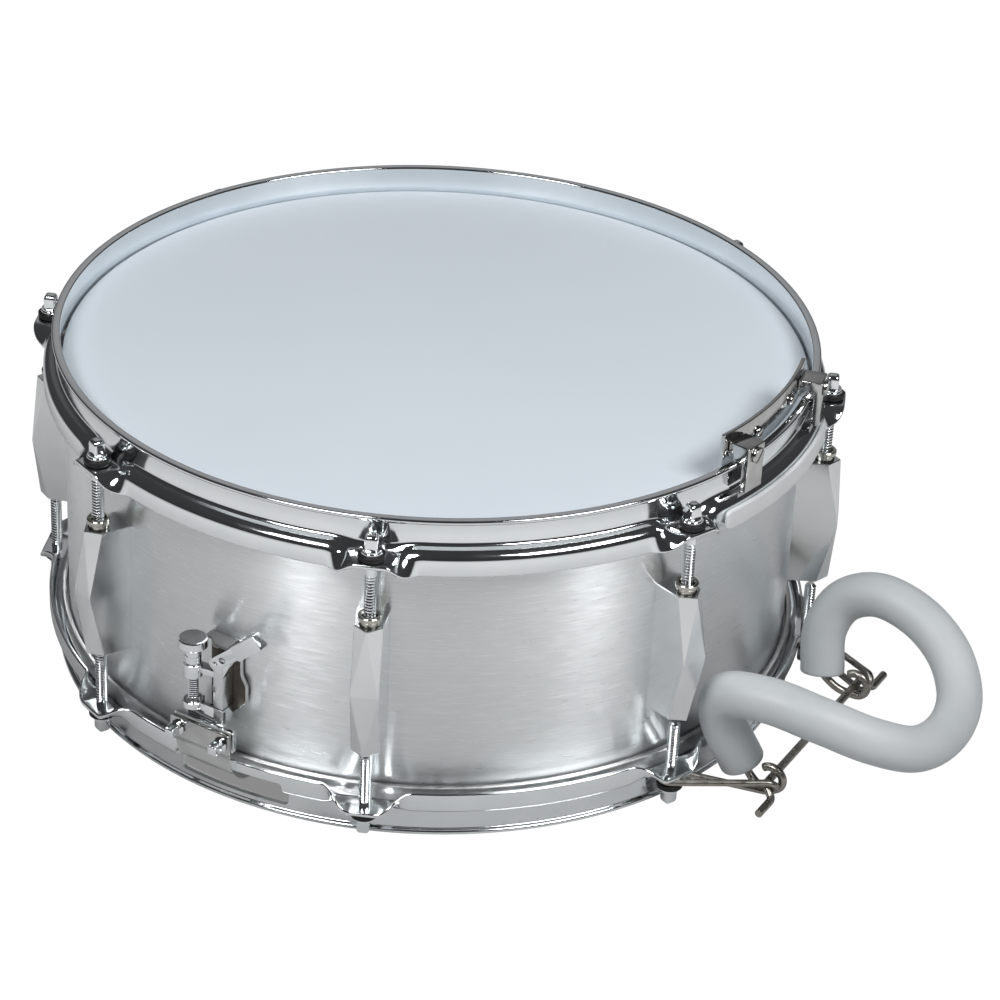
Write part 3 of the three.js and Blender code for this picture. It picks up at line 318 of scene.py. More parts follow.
def place(name, solid, mats, slot, az, angle=30, bevel=0.0, segments=2, body="drum", nodes=(), indices=None):
    """A solid turned to its azimuth, bevelled and put on its body."""
    o = mesh(name, *turned(solid, az), mats, slot, angle, indices)
    if bevel:
        bevelled(o, bevel, segments)
    put(o, body, *nodes)
    return o


# Shapes, each as points and faces
def loft(rings, closed=False):
    """A skin over rings of the same count, capped unless the last ring joins the first."""
    n = len(rings[0])
    verts = [p for r in rings for p in r]
    faces = []
    for i in range(len(rings) if closed else len(rings) - 1):
        j = (i + 1) % len(rings)
        for k in range(n):
            l = (k + 1) % n
            faces.append((i * n + k, i * n + l, j * n + l, j * n + k))
    if not closed:
        faces.append(tuple(range(n))[::-1])
        faces.append(tuple(range((len(rings) - 1) * n, len(rings) * n)))
    return verts, faces


def joined(parts, slots):
    """Several closed shapes as one, with each shape's material index on its faces."""
    verts, faces, index = [], [], []
    for (v, f), slot in zip(parts, slots):
        base = len(verts)
        verts += v
        faces += [tuple(i + base for i in face) for face in f]
        index += [slot] * len(f)
    return verts, faces, index


def together(*parts):
    """Several closed shapes as one of a single material."""
    return joined(parts, [0] * len(parts))[:2]


def ring(radius, z, count):
    steps = [2 * pi * i / count for i in range(count)]
    return [(radius * cos(a), radius * sin(a), z) for a in steps]


def shifted(rings, x, y):
    return [[(a + x, b + y, z) for a, b, z in r] for r in rings]


def rounded(points, radii, steps=3, closed=True):
    """A line of points with its corners rounded, by one reach for all or one for each."""
    out = []
    n = len(points)
    for i, p in enumerate(points):
        reach = radii[i] if isinstance(radii, (list, tuple)) else radii
        if not closed and i in (0, n - 1):
            out.append(p)
            continue
        p = Vector(p)
        before = Vector(points[i - 1]) - p
        after = Vector(points[(i + 1) % n]) - p
        reach = min(reach, before.length * 0.45, after.length * 0.45)
        start = p + before.normalized() * reach
        stop = p + after.normalized() * reach
        for k in range(steps + 1):
            w = k / steps
            out.append(tuple(start * (1 - w) ** 2 + p * (2 * w * (1 - w)) + stop * w * w))
    return out


def spun(profile, count, x=0.0, y=0.0):
    """A closed profile of (radius, z) turned about the upright line at x, y."""
    rings = []
    for i in range(count):
        a = 2 * pi * i / count
        rings.append([(r * cos(a) + x, r * sin(a) + y, z) for r, z in profile])
    return loft(rings, closed=True)


def swept(section, azimuth, half, steps):
    """A section of (radius, z) carried round the drum, half degrees to each side of an azimuth."""
    rings = []
    for i in range(steps + 1):
        a = radians(azimuth - half + 2 * half * i / steps)
        rings.append([(r * cos(a), r * sin(a), z) for r, z in section])
    return loft(rings)


def transported(points, radius, sides, closed=False):
    """Round rings along a line of points, each turned on from the last without twist."""
    rings = []
    side = None
    n = len(points)
    points = [Vector(p) for p in points]
    for i, p in enumerate(points):
        before = points[(i - 1) % n] if closed else points[max(i - 1, 0)]
        after = points[(i + 1) % n] if closed else points[min(i + 1, n - 1)]
        along = (after - before).normalized()
        if side is None or closed:
            side = Vector((0, 0, 1)) if abs(along.z) < 0.95 else Vector((1, 0, 0))
        side = (side - along * side.dot(along)).normalized()
        other = along.cross(side)
        turns = [2 * pi * k / sides for k in range(sides)]
        rings.append([
            tuple(p + side * (radius * cos(t)) + other * (radius * sin(t))) for t in turns
        ])
    return rings


def prism(near, far):
    """A closed solid between two outlines of the same count."""
    n = len(near)
    faces = [tuple(range(n)), tuple(range(n, 2 * n))[::-1]]
    faces += [(i, (i + 1) % n, n + (i + 1) % n, n + i) for i in range(n)]
    return near + far, faces


def plate(outline, inner, outer):
    """Outline in (offset, z) as seen from outside, between two radii."""
    return prism([(u, -inner, z) for u, z in outline], [(u, -outer, z) for u, z in outline])


def level(outline, low, high):
    """Outline in (offset, radius), between two heights."""
    return prism([(u, -r, low) for u, r in outline], [(u, -r, high) for u, r in outline])


def side_plate(outline, left, right):
    """Outline in (radius, z), between two offsets."""
    return prism([(left, -r, z) for r, z in outline], [(right, -r, z) for r, z in outline])


def radial(rings, u, z):
    """Rings drawn along +Z, turned to point outward at an offset and height."""
    return [[(x + u, -reach, y + z) for x, y, reach in r] for r in rings]


def pin(section, u, z, count):
    """A round piece that points outward at an offset and height, from (radius, reach)."""
    return loft(radial([ring(r, reach, count) for r, reach in section], u, z))


def box(left, right, low, high):
    return [(left, low), (right, low), (right, high), (left, high)]


def bow(cx, cy, radius, count, start, stop):
    """Points round an arc between two angles."""
    turns = [start + (stop - start) * i / count for i in range(count + 1)]
    return [(cx + radius * cos(t), cy + radius * sin(t)) for t in turns]


def key_ring(half, corner, z):
    """A square with round corners, such as a drum key turns."""
    flat = half - corner
    points = []
    for sx, sy in ((1, 1), (-1, 1), (-1, -1), (1, -1)):
        for q in range(4):
            a = atan2(sy, sx) - pi / 4 + q * pi / 6
            points.append((sx * flat + corner * cos(a), sy * flat + corner * sin(a), z))
    return points


def hexagon_screws(inner, seat, outer, places):
    """Screws from inside the shell: heads between the first two radii, shanks out to the third."""
    head_radius, shank_radius = 4.6, 2.4
    steps = [(head_radius, inner), (head_radius, seat), (shank_radius, seat), (shank_radius, outer)]
    return together(*[pin(steps, u, z, 6) for u, z in places])


# Shell and heads
edge = [(0, -1.5), (-1.5, 0), (-6, -4.5), (-6, -6.8), (-1.6, -3.1)]
upper_edge = [(SHELL_RADIUS + r, SHELL_TOP + z) for r, z in edge]
lower_edge = [(r, SHELL_BOTTOM + (SHELL_TOP - z)) for r, z in reversed(upper_edge)]
shell_section = rounded(lower_edge + upper_edge, 0.6, 2)
shell = mesh("shell_fine", *spun(shell_section, 288), SHELL, "brushed_aluminium", 40)
put(shell, "drum", "shell")

HEAD_OUTSIDE = [
    (0.02, 0), (60, 0), (120, 0), (160, 0), (175.4, 0),
    (177.2, -0.25), (178.35, -1.2), (178.6, -3), (178.6, -9),
]
HEAD_INSIDE = [
    (178.1, -9), (178.1, -3), (177.9, -1.6), (176.9, -0.75),
    (175.2, -0.5), (160, -0.5), (120, -0.5), (60, -0.5), (0.02, -0.5),
]


def head(name, face, up, mat, slot, node_name):
    """A head whose outer face lies at a height, with its collar turned away from it."""
    section = [(r, face + up * z) for r, z in HEAD_OUTSIDE + HEAD_INSIDE]
    put(mesh(name, *spun(section, 256), mat, slot, 40), "drum", node_name)


head("batter_head_fine", HEAD_TOP, 1, FILM, "coated_film", "batter_head")
head("snare_side_head_fine", SNARE_HEAD, -1, CLEAR, "clear_film", "snare_side_head")

FLESH_INNER, FLESH_OUTER = 178.9, 181.5
FLESH_NEAR, FLESH_FAR = 16.8, 24.8


def flesh(name, low, high, node_name):
    corners = [(FLESH_INNER, low), (FLESH_OUTER, low), (FLESH_OUTER, high), (FLESH_INNER, high)]
    section = rounded(corners, 0.8, 3)
    put(mesh(name, *spun(section, 192), CAST, "cast_aluminium", 60), "drum", node_name)


flesh("batter_flesh_fine", LIP - FLESH_FAR, LIP - FLESH_NEAR, "batter_flesh_hoop")
flesh("snare_flesh_fine", LOW + FLESH_NEAR, LOW + FLESH_FAR, "snare_flesh_hoop")

# Counter hoops
SKIRT = 8.9
SHEET = 2.2
EAR_FLAT, EAR_END, HALF_PITCH = 1.9, 6.5, 22.5
GATE_HALF, GATE_LOW, GATE_HIGH = 28.8, 4.8, 20.5
GATE_CUT = (175, 190)
GATES = [-88.3, 91.7]


def hoop_section(fold):
    """Radius and depth below the lip, from a fold of 0 between ears to 1 at an ear."""
    angle = fold * pi / 2

    def mix(plain, ear):
        return plain + (ear - plain) * fold

    root = (187.5, mix(16.6, 16.7))
    tip = (root[0] + SKIRT * sin(angle), root[1] + SKIRT * cos(angle))
    points = [
        (179.1, 0), (183.2, 0), (183.2, 1.9), (181.3, 2.6), (181.3, mix(12.6, 13.6)),
        (mix(185.2, 183.0), mix(14.2, 16.4)), (mix(187.5, 184.6), root[1]), tip,
        (tip[0] - SHEET * cos(angle), tip[1] + SHEET * sin(angle)),
        (mix(185.3, 184.0), mix(18.2, 18.9)), (mix(183.4, 181.9), 16.5), (179.1, 15.8),
    ]
    return rounded(points, [0.9, 0.95, 0.8, 0.5, 1.3, 1.6, 1.6, 0.9, 0.9, 1.0, 1.2, 0.8], 3)


def smoothstep(x):
    x = min(max(x, 0.0), 1.0)
    return x * x * (3 - 2 * x)


def hoop(name, z_of, gates, node_name):
    """A triple-flanged hoop; z_of turns a depth below the lip into the row's z."""
    rings = []
    for ear in EARS:
        away = -HALF_PITCH
        while away < HALF_PITCH - 1e-6:
            fold = smoothstep((EAR_END - abs(away)) / (EAR_END - EAR_FLAT))
            a = radians(ear + away)
            rings.append([(r * cos(a), r * sin(a), z_of(d)) for r, d in hoop_section(fold)])
            # rings lie closer where the skirt folds
            away += 0.45 if abs(away + 0.2) < 7.6 else 0.9
    o = mesh(name, *loft(rings, closed=True), CHROME, "chrome", 50)
    cutters = []
    for gate in gates:
        opening = rounded(box(-GATE_HALF, GATE_HALF, above(GATE_LOW), above(GATE_HIGH)), 2.5, 4)
        cutters.append(mesh("gate_cut", *turned(plate(opening, *GATE_CUT), gate), CHROME))
    if cutters:
        carve(o, *cutters)
        smooth_angle(o.data, 50)
    put(o, "drum", node_name)


hoop("top_hoop_fine", lambda depth: LIP - depth, [], "top_hoop")
hoop("bottom_hoop_fine", lambda depth: LOW + depth, GATES, "bottom_hoop")

# Lugs
LUG_HALF = 33
LUG_BACK, LUG_FRONT, LUG_RIDGE, LUG_KITE = 177.55, 192, 197.4, 199.2
LUG_HALF_BACK, LUG_HALF_FRONT = 7.7, 6.5
NUT_INNER, NUT_OUTER, LUG_BORE = 3.2, 4.55, 4.9
LUG_BORES = [(-LUG_HALF - 2, -LUG_HALF + 12), (LUG_HALF - 6, LUG_HALF + 2)]
COLLAR_NUT = [
    (NUT_INNER, 20), (NUT_OUTER, 20), (NUT_OUTER, 35.2), (5.0, 35.5), (5.35, 35.9),
    (5.35, 37.6), (5.0, 38), (3.9, 38), (NUT_INNER, 37.2),
]
PLAIN_NUT = [(NUT_INNER, -31.4), (NUT_OUTER, -31.4), (NUT_OUTER, -20), (NUT_INNER, -20)]


def lug_body(name, az):
    """The hull of two ends and, across the middle, the kite's two side corners."""
    points = []
    for up in (-1, 1):
        end = up * LUG_HALF + LUG_MIDDLE
        for s in (-1, 1):
            points.append((s * LUG_HALF_BACK, -LUG_BACK, end))
            points.append((s * LUG_HALF_FRONT, -LUG_FRONT, end))
        points.append((0, -LUG_RIDGE, end))
        points.append((up * LUG_HALF_FRONT, -LUG_KITE, LUG_MIDDLE))
    bm = bmesh.new()
    for p in points:
        bm.verts.new([c * MM for c in azim(p, az)])
    bmesh.ops.convex_hull(bm, input=bm.verts)
    bmesh.ops.dissolve_limit(bm, angle_limit=radians(1), verts=bm.verts, edges=bm.edges)
    me = bpy.data.meshes.new(name)
    bm.to_mesh(me)
    bm.free()
    me.materials.append(LUG_CHROME)
    return added(name, me)


def lug(k, az):
    o = lug_body(f"lug_{k}_body", az)
    cutters = []
    for low, high in LUG_BORES:
        rings = [ring(LUG_BORE, z + LUG_MIDDLE, 24) for z in (low, high)]
        cutters.append(mesh("bore_cut", *turned(loft(shifted(rings, 0, -ROD_CIRCLE)), az), LUG_CHROME))
    bevelled(o, 0.28, 2, 12)
    carve(o, *cutters)
    smooth_angle(o.data, 3.5)
    put(o, "drum", f"lug_{k}")
    nuts = [[(r, z + LUG_MIDDLE) for r, z in section] for section in (COLLAR_NUT, PLAIN_NUT)]
    nuts = together(*[spun(section, 40, 0, -ROD_CIRCLE) for section in nuts])
    place(f"lug_{k}_nuts", nuts, NICKEL, "chrome", az, 35)
    screws = hexagon_screws(172.4, 175.3, 178.4, [(0, LUG_MIDDLE + up * 15) for up in (-1, 1)])
    place(f"lug_{k}_screws", screws, STEEL, "dull_steel", az)


for k, az in enumerate(EARS, 1):
    lug(k, az)

# Tension rods, drawn by the height above the outer face of the ear
ROD_LENGTH = 32.5
THREAD_PITCH = 1.5
THREAD_INNER, THREAD_OUTER, SHANK = 2.2, 2.78, 2.7
WASHER_BORE = 2.6
NYLON_RADIUS, NYLON_HEIGHT = 6.2, 2.8
WASHER_RADIUS, WASHER_HEIGHT = 4.9, 1.0
FLANGE_RADIUS, FLANGE_HEIGHT = 4.4, 1.2
KEY_STEPS = [
    (2.9, -0.2, 0.8), (2.9, 4.6, 0.8), (2.8, 5.5, 0.9), (2.5, 6.2, 1.0), (2.0, 6.65, 1.0), (1.3, 6.8, 0.8),
]
LINK_DROP = 3.9


def washer(inner, outer, low, high, inner_edge, outer_edge, steps, z_of):
    corners = [(inner, low), (outer, low), (outer, high), (inner, high)]
    section = rounded(corners, [inner_edge, outer_edge, outer_edge, inner_edge], steps)
    return spun([(r, z_of(h)) for r, h in section], 36, 0, -ROD_CIRCLE)


def rod(name, az, z_of, drop, thread, body):
    """A rod with its washers; z_of turns a height above the ear into the row's z."""
    end = drop - ROD_LENGTH
    shank = [(1.6, end), (2.3, end + 0.9)]
    h = max(thread[0], end + 1.0)
    while h + THREAD_PITCH < thread[1]:
        shank += [(THREAD_INNER, h), (THREAD_OUTER, h + 0.5), (THREAD_OUTER, h + 1.0)]
        h += THREAD_PITCH
    nylon = drop + 0.3
    steel = nylon + NYLON_HEIGHT
    flange = steel + WASHER_HEIGHT
    key = flange + FLANGE_HEIGHT
    shank += [(THREAD_INNER, h), (SHANK, h + 0.45), (SHANK, nylon)]
    key_rings = [key_ring(half, corner, z_of(key + h)) for half, h, corner in KEY_STEPS]
    parts = [
        loft(shifted([ring(r, z_of(h), 24) for r, h in shank], 0, -ROD_CIRCLE)),
        washer(WASHER_BORE, NYLON_RADIUS, nylon, steel, 0.1, 0.7, 3, z_of),
        washer(WASHER_BORE, WASHER_RADIUS, steel, flange, 0.1, 0.35, 2, z_of),
        washer(0.05, FLANGE_RADIUS, flange, key, 0.01, 0.4, 2, z_of),
        loft(shifted(key_rings, 0, -ROD_CIRCLE)),
    ]
    verts, faces, index = joined(parts, [0, 1, 0, 0, 0])
    place(name, (verts, faces), [CHROME, NYLON], "chrome", az, 32, body=body, nodes=(body,), indices=index)


for k, az in enumerate(EARS, 1):
    # the links of the leg rest lie under the washers of the two nearest lower rods
    drop = LINK_DROP if abs(az) < 45 else 0.0
    top_thread, bottom_thread = (-31.4, -8.5), (-31.4 + drop, -5.5)
    rod(f"top_rod_{k}_fine", az, lambda h: LIP - EAR_FACE + h, 0.0, top_thread, f"top_rod_{k}")
    rod(f"bottom_rod_{k}_fine", az, lambda h: LOW + EAR_FACE - h, drop, bottom_thread, f"bottom_rod_{k}")

# Strainer base, drawn in offsets from its azimuth and heights above the lower lip
RAIL_U = 8.7
PIVOT = 76.8
KNOB_U, KNOB_RADIUS = -2.8, 191
PLATE_BACK, PLATE_FRONT, SLIDE_BACK, SLIDE_FRONT = 178.1, 180, 185.5, 188


def slab(points, radii, inner, outer, steps=3):
    """A plate with rounded corners, from (offset, height above the lip)."""
    return plate(rounded([(u, above(h)) for u, h in points], radii, steps), inner, outer)


def fitting(name, solid, az=STRAINER_AZ, mats=CHROME, slot="chrome", **more):
    """A piece of the strainer, or of the butt plate, in chrome unless it says otherwise."""
    return place(name, solid, mats, slot, az, **more)


corners = [(-1, 44.2), (9.7, 44.2), (18.7, 53.9), (18.7, 63.2), (15.8, 67.7), (15.8, 86.2), (-1, 86.2)]
base = slab(corners, [0.8, 1.5, 1.5, 1.5, 1.5, 1.2, 0.8], PLATE_BACK, PLATE_FRONT, 4)
base_plate = fitting(
    "strainer_plate", base, mats=[PLATE, TAB_PAINTED_SHADE], slot="cast_aluminium", bevel=0.45, nodes=("strainer_base",),
)
# the one large face that looks outward gets the tab's painted shade, a dark tone standing in for the dark
# reflection it shows
outward = Vector(azim((0, -1, 0), STRAINER_AZ))
for face in base_plate.data.polygons:
    if face.area > 1e-4 and face.normal.dot(outward) > 0.99:
        face.material_index = 1
outline = rounded([(-1, 179.4), (13.7, 179.4), (13.7, 187.9), (6.75, 187.9), (2.25, 184), (-1, 184)], 0.6, 3)
flange = level(outline, above(84.6), above(86.2))
fitting("strainer_flange", flange, mats=FLANGE, slot="cast_aluminium", bevel=0.25)
stem = plate(box(8.0, 9.4, above(44.2), above(74.7)), 179.6, 182.1)
crown = plate(box(7.4, 10.0, above(44.2), above(74.7)), 181.7, 184)
fitting("strainer_rail", together(stem, crown), slot="cast_aluminium", bevel=0.2)
screws = hexagon_screws(172.3, 175.2, 180.6, [(2, above(80.2)), (2, above(56.2))])
fitting("strainer_screws_fine", screws, mats=STEEL, slot="dull_steel")


def sleeve(low, high):
    """A slide's C-shaped section round the T-shaped rail."""
    half = [(2.6, 188), (2.6, 180.3), (1.0, 180.3), (1.0, 181.4), (1.6, 181.4), (1.6, 184.3)]
    section = half + [(-u, r) for u, r in reversed(half)]
    return level([(u + RAIL_U, r) for u, r in section], above(low), above(high))


def collar(bore, outer, low, high):
    """A ring of a slide round the knob's screw."""
    section = rounded([(bore, low), (outer, low), (outer, high), (bore, high)], [0.2, 0.5, 0.5, 0.2], 3)
    return spun([(r, above(h)) for r, h in section], 36, KNOB_U, -KNOB_RADIUS)


# Upper slide
YOKE = "strainer_yoke"
fitting("yoke_sleeve", sleeve(51.85, 75), mats=SATIN, bevel=0.15, body=YOKE, nodes=(YOKE,))
arm = rounded([(6.9, 183.6), (6.9, 188), (1.6, 188.4), (-2.8, 191.4), (-5.0, 191), (-2.8, 183.6)], 0.9, 3)
fitting("yoke_arm", level(arm, above(67.6), above(70.8)), bevel=0.3, body=YOKE)
fitting("yoke_ring", collar(3.0, 4.4, 67.6, 74.3), body=YOKE)
corners = [(10.9, 68), (15.15, 76.8), (15.15, 82.5), (11.75, 82.5), (10.9, 74.7)]
drive_arm = slab(corners, [0.2, 1.2, 1.2, 1.2, 0.2], 185, SLIDE_FRONT, 4)
fitting("yoke_drive_arm", drive_arm, bevel=0.3, body=YOKE)
yoke_pin = pin([(0.9, 187.6), (0.9, 190.5), (0.6, 190.7)], 13.45, above(80.8), 16)
fitting("yoke_pin", yoke_pin, slot="dull_steel", body=YOKE)

# Lower slide
CARRIAGE = "strainer_carriage"
fitting("carriage_sleeve", sleeve(43.5, 51), mats=SATIN, bevel=0.15, body=CARRIAGE, nodes=(CARRIAGE,))
apron = slab(box(-8, 11.3, 37, 51), [0.5, 0.5, 1.0, 2.5], SLIDE_BACK, SLIDE_FRONT)
fitting("carriage_plate", apron, bevel=0.3, body=CARRIAGE)
web = slab(box(-5.2, -0.4, 49, 54.5), [0.3, 0.3, 1.0, 1.0], SLIDE_BACK, SLIDE_FRONT)
fitting("carriage_web", web, bevel=0.3, body=CARRIAGE)
fitting("carriage_lug", collar(3.0, 4.8, 51, 54.5), body=CARRIAGE)

# Strap clamps of strainer and butt plate
CLAMP_LEFT, CLAMP_RIGHT, CLAMP_LOW, CLAMP_HIGH = -14.3, 18.7, 32, 43
CLAMP_MIDDLE, CLAMP_U, SCREW_OFFSET = 37.5, 2.2, 12
SCREW_SECTION = [
    (2.0, 188.4), (2.0, 193.6), (3.35, 193.6), (3.7, 193.9),
    (3.7, 194.3), (3.3, 194.6), (2.95, 194.9), (2.6, 195.6),
]
SCREW_KEY = [(2.4, 0.5, 194.6), (2.35, 0.5, 199.6), (2.15, 0.5, 200.2), (1.6, 0.4, 200.5)]


def clamp_set(tag, az, body):
    """Two bars that hold the strap, and their square-headed screws."""
    bar = box(CLAMP_LEFT, CLAMP_RIGHT, CLAMP_LOW, CLAMP_HIGH)
    fitting(f"{tag}_back_bar", slab(bar, 1.4, 187.6, 190.1, 4), az, bevel=0.3, body=body)
    fitting(
        f"{tag}_front_bar", slab(bar, 1.4, 191.3, 193.3, 4), az, mats=RAIL,
        bevel=0.45, segments=3, body=body, nodes=(f"{tag}_plate",),
    )
    for k, s in enumerate((-1, 1), 1):
        u = CLAMP_U + s * SCREW_OFFSET
        key = [key_ring(half, corner, reach) for half, corner, reach in SCREW_KEY]
        key = loft(radial(key, u, above(CLAMP_MIDDLE)))
        screw = together(pin(SCREW_SECTION, u, above(CLAMP_MIDDLE), 32), key)
        fitting(f"{tag}_screw_{k}_fine", screw, az, angle=35, body=body, nodes=(f"{tag}_screw_{k}",))


clamp_set("strainer_clamp", STRAINER_AZ, CARRIAGE)
clamp_set("butt_clamp", BUTT_AZ, "drum")

# Tension knob: screw, collars and a disc on top, painted dark for the dark reflection its top shows
KNOB_SIDES = 48
SCREW_PITCH, SCREW_RADIUS, SCREW_DEPTH = 1.1, 2.5, 0.3
screw_rings = [ring(1.9, above(49), KNOB_SIDES), ring(SCREW_RADIUS, above(49.6), KNOB_SIDES)]
h = 49.8
while h < 74.5:
    turn = (h / SCREW_PITCH) % 1.0
    screw_rings.append(ring(SCREW_RADIUS - SCREW_DEPTH * abs(2 * turn - 1), above(h), KNOB_SIDES))
    h += 0.22
KNOB_SECTION = [
    (2.5, 74.6), (3.45, 74.6), (3.8, 74.9), (3.8, 78.4), (3.5, 78.6), (3.5, 79.0), (3.8, 79.2), (3.8, 82.9),
    (6.2, 82.9), (6.7, 83.4), (6.7, 87.0), (6.4, 87.5), (5.9, 87.7), (0.05, 87.7),
]
knob_rings = screw_rings + [ring(r, above(h), KNOB_SIDES) for r, h in KNOB_SECTION]
knob = loft(shifted(knob_rings, KNOB_U, -KNOB_RADIUS))
# the faces painted dark for the top's reflection are the last band and the cap that closes it
last_band = (len(knob_rings) - 2) * KNOB_SIDES
index = [int(last_band <= i < last_band + KNOB_SIDES) for i in range(len(knob[1]))]
index[-1] = 1
fitting(
    "knob_fine", knob, mats=[CHROME, KNOB_TOP], angle=28,
    body="strainer_knob", nodes=("strainer_knob",), indices=index,
)

# Throw lever, drawn by the way along it and across it from its pivot
LEVER_TILT = radians(42)
GRIP_FROM, GRIP_TO, GRIP_HALF = 17.2, 33.6, 3.7


def lever_point(along, across):
    c, s = cos(LEVER_TILT), sin(LEVER_TILT)
    return (RAIL_U + along * c - across * s, above(PIVOT) + along * s + across * c)


LEFT_BOW, RIGHT_BOW = (pi / 2, 3 * pi / 2), (-pi / 2, pi / 2)
outline = bow(0, 0, 2.9, 16, *LEFT_BOW)
outline += [(2, -3.05), (33, -3.05), (33.2, -2.8), (33.2, 2.8), (33, 3.05), (2, 3.05)]
lever_solid = plate([lever_point(*p) for p in outline], 188.6, 190.6)
lever = mesh("lever_strip", *turned(lever_solid, STRAINER_AZ), CHROME, "chrome")
slot_line = bow(5.9, 0, 1.5, 10, *RIGHT_BOW) + bow(5.2, 0, 1.5, 10, *LEFT_BOW)
slot_solid = plate([lever_point(*p) for p in slot_line], 187, 192)
carve(lever, mesh("slot_cut", *turned(slot_solid, STRAINER_AZ), CHROME))
bevelled(lever, 0.25, 2)
put(lever, "strainer_lever", "strainer_lever")
grip_outline = rounded(box(GRIP_FROM, GRIP_TO, -GRIP_HALF, GRIP_HALF), 0.6, 3)
grip = plate([lever_point(*p) for p in grip_outline], 188.2, 193.4)
fitting("lever_grip", grip, bevel=1.3, segments=4, body="strainer_lever")
lever_pin = pin([(1.5, 178.4), (1.5, 190.8), (1.45, 191.1), (1.1, 191.3)], RAIL_U, above(PIVOT), 24)
fitting("lever_pin_fine", lever_pin, slot="dull_steel", angle=35, nodes=("strainer_lever_pin",))

# Straps, from the clamp round the skirt and through the gate to the end plate
STRAP_LEFT, STRAP_RIGHT, STRAP_SHEET = -12.8, 17.2, 0.55
STRAP_LEVEL, STRAP_TOP = 9.3, 43
STRAP_PATH = [
    (190.7, STRAP_TOP), (190.7, 27.5), (189.1, 22.5), (188.2, 20.3), (185.6, 17.0), (181.9, 13.6),
    (178.5, 11.5), (172, 10.3), (150, STRAP_LEVEL), (141.3, STRAP_LEVEL),
]


def ribbon(path, thickness):
    """The two faces of a sheet that follows a path, one after the other."""
    sides = []
    for s in (1, -1):
        points = []
        for i, (r, z) in enumerate(path):
            r0, z0 = path[max(i - 1, 0)]
            r1, z1 = path[min(i + 1, len(path) - 1)]
            length = hypot(r1 - r0, z1 - z0)
            half = s * thickness / 2
            points.append((r + half * (z1 - z0) / length, z - half * (r1 - r0) / length))
        sides.append(points)
    return sides[0] + sides[1][::-1]


def strap(name, az, node_name):
    path = rounded([(r, above(h), 0) for r, h in STRAP_PATH], 3.0, 5, closed=False)
    section = ribbon([(r, z) for r, z, _ in path], STRAP_SHEET)
    n = len(section)
    verts = [(u, -r, z) for u in (STRAP_LEFT, STRAP_RIGHT) for r, z in section]
    faces = [(i, (i + 1) % n, n + (i + 1) % n, n + i) for i in range(n)]
    for i in range(len(path) - 1):
        a, b, c, d = i, i + 1, n - 2 - i, n - 1 - i
        faces.append((a, d, c, b))
        faces.append((a + n, b + n, c + n, d + n))
    return fitting(name, (verts, faces), az, mats=STRAP, slot="clear_film", angle=40, nodes=(node_name,))


# thrown off, the strainer lowers its clamp by 7.3 mm and the strap slackens by as much
slack = strap("strainer_strap_fine", STRAINER_AZ, "strainer_strap")
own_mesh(slack)
strap("butt_strap_fine", BUTT_AZ, "butt_strap")

# Butt bracket
section = [
    (178.1, 26.3), (180.1, 26.3), (180.1, 39), (188.4, 39),
    (188.4, 43), (180.1, 43), (180.1, 57.3), (178.1, 57.3),
]
bracket = side_plate([(r, above(h)) for r, h in section], -14, 14)
fitting(
    "butt_bracket_fine", bracket, BUTT_AZ, slot="cast_aluminium",
    bevel=0.4, segments=3, nodes=("butt_bracket",),
)
screws = hexagon_screws(171.9, 174.9, 180.7, [(u, above(50.3)) for u in (-8, 8)])
fitting("butt_screws_fine", screws, BUTT_AZ, mats=STEEL, slot="dull_steel")

# Snare wires: coiled strands between two end plates
STRANDS, STRAND_PITCH = 16, 2.4
COIL_TURNS, COIL_STEPS, COIL_RADIUS, COIL_WIRE = 175, 7, 0.66, 0.24
STRAND_HALF, STRAND_GAP, STRAND_RADIUS = 149, 0.3, 0.9
PLATE_FROM, PLATE_TO, PLATE_HALF, PLATE_DROPS = 141, 150, 19.2, (1.3, 0.3)
snare_x = PLATE_TO * cos(radians(STRAINER_AZ))
strand_z = SNARE_HEAD - STRAND_GAP - STRAND_RADIUS


def strand(x):
    """A coil along Y, as a thin square wire round a helix."""
    steps = COIL_TURNS * COIL_STEPS
    advance = 2 * STRAND_HALF / (COIL_TURNS * 2 * pi)
    rings = []
    for q in range(steps + 1):
        a = 2 * pi * q / COIL_STEPS
        y = -STRAND_HALF + 2 * STRAND_HALF * q / steps
        middle = Vector((x + COIL_RADIUS * cos(a), y, strand_z + COIL_RADIUS * sin(a)))
        out = Vector((cos(a), 0, sin(a)))
        along = Vector((-sin(a) * COIL_RADIUS, advance, cos(a) * COIL_RADIUS)).normalized()
        side = along.cross(out)
        turns = [k * pi / 2 for k in range(4)]
        rings.append([
            tuple(middle + out * (COIL_WIRE * cos(t)) + side * (COIL_WIRE * sin(t))) for t in turns
        ])
    return loft(rings)


strands = [strand(snare_x + (i - (STRANDS - 1) / 2) * STRAND_PITCH) for i in range(STRANDS)]
put(mesh("snare_coils", *together(*strands), WIRE, "snare_steel", 60), "drum", "snare_wires")
for k, s in enumerate((-1, 1), 1):
    near, far = sorted((s * PLATE_FROM, s * PLATE_TO))
    outline = rounded(box(-PLATE_HALF, PLATE_HALF, near, far), 1.5, 3)
    end_plate = prism(*[[(snare_x + x, y, strand_z - z) for x, y in outline] for z in PLATE_DROPS])
    o = mesh(f"snare_end_plate_{k}", *end_plate, RAIL, "snare_steel", 30)
    bevelled(o, 0.2, 2)
    put(o, "drum")

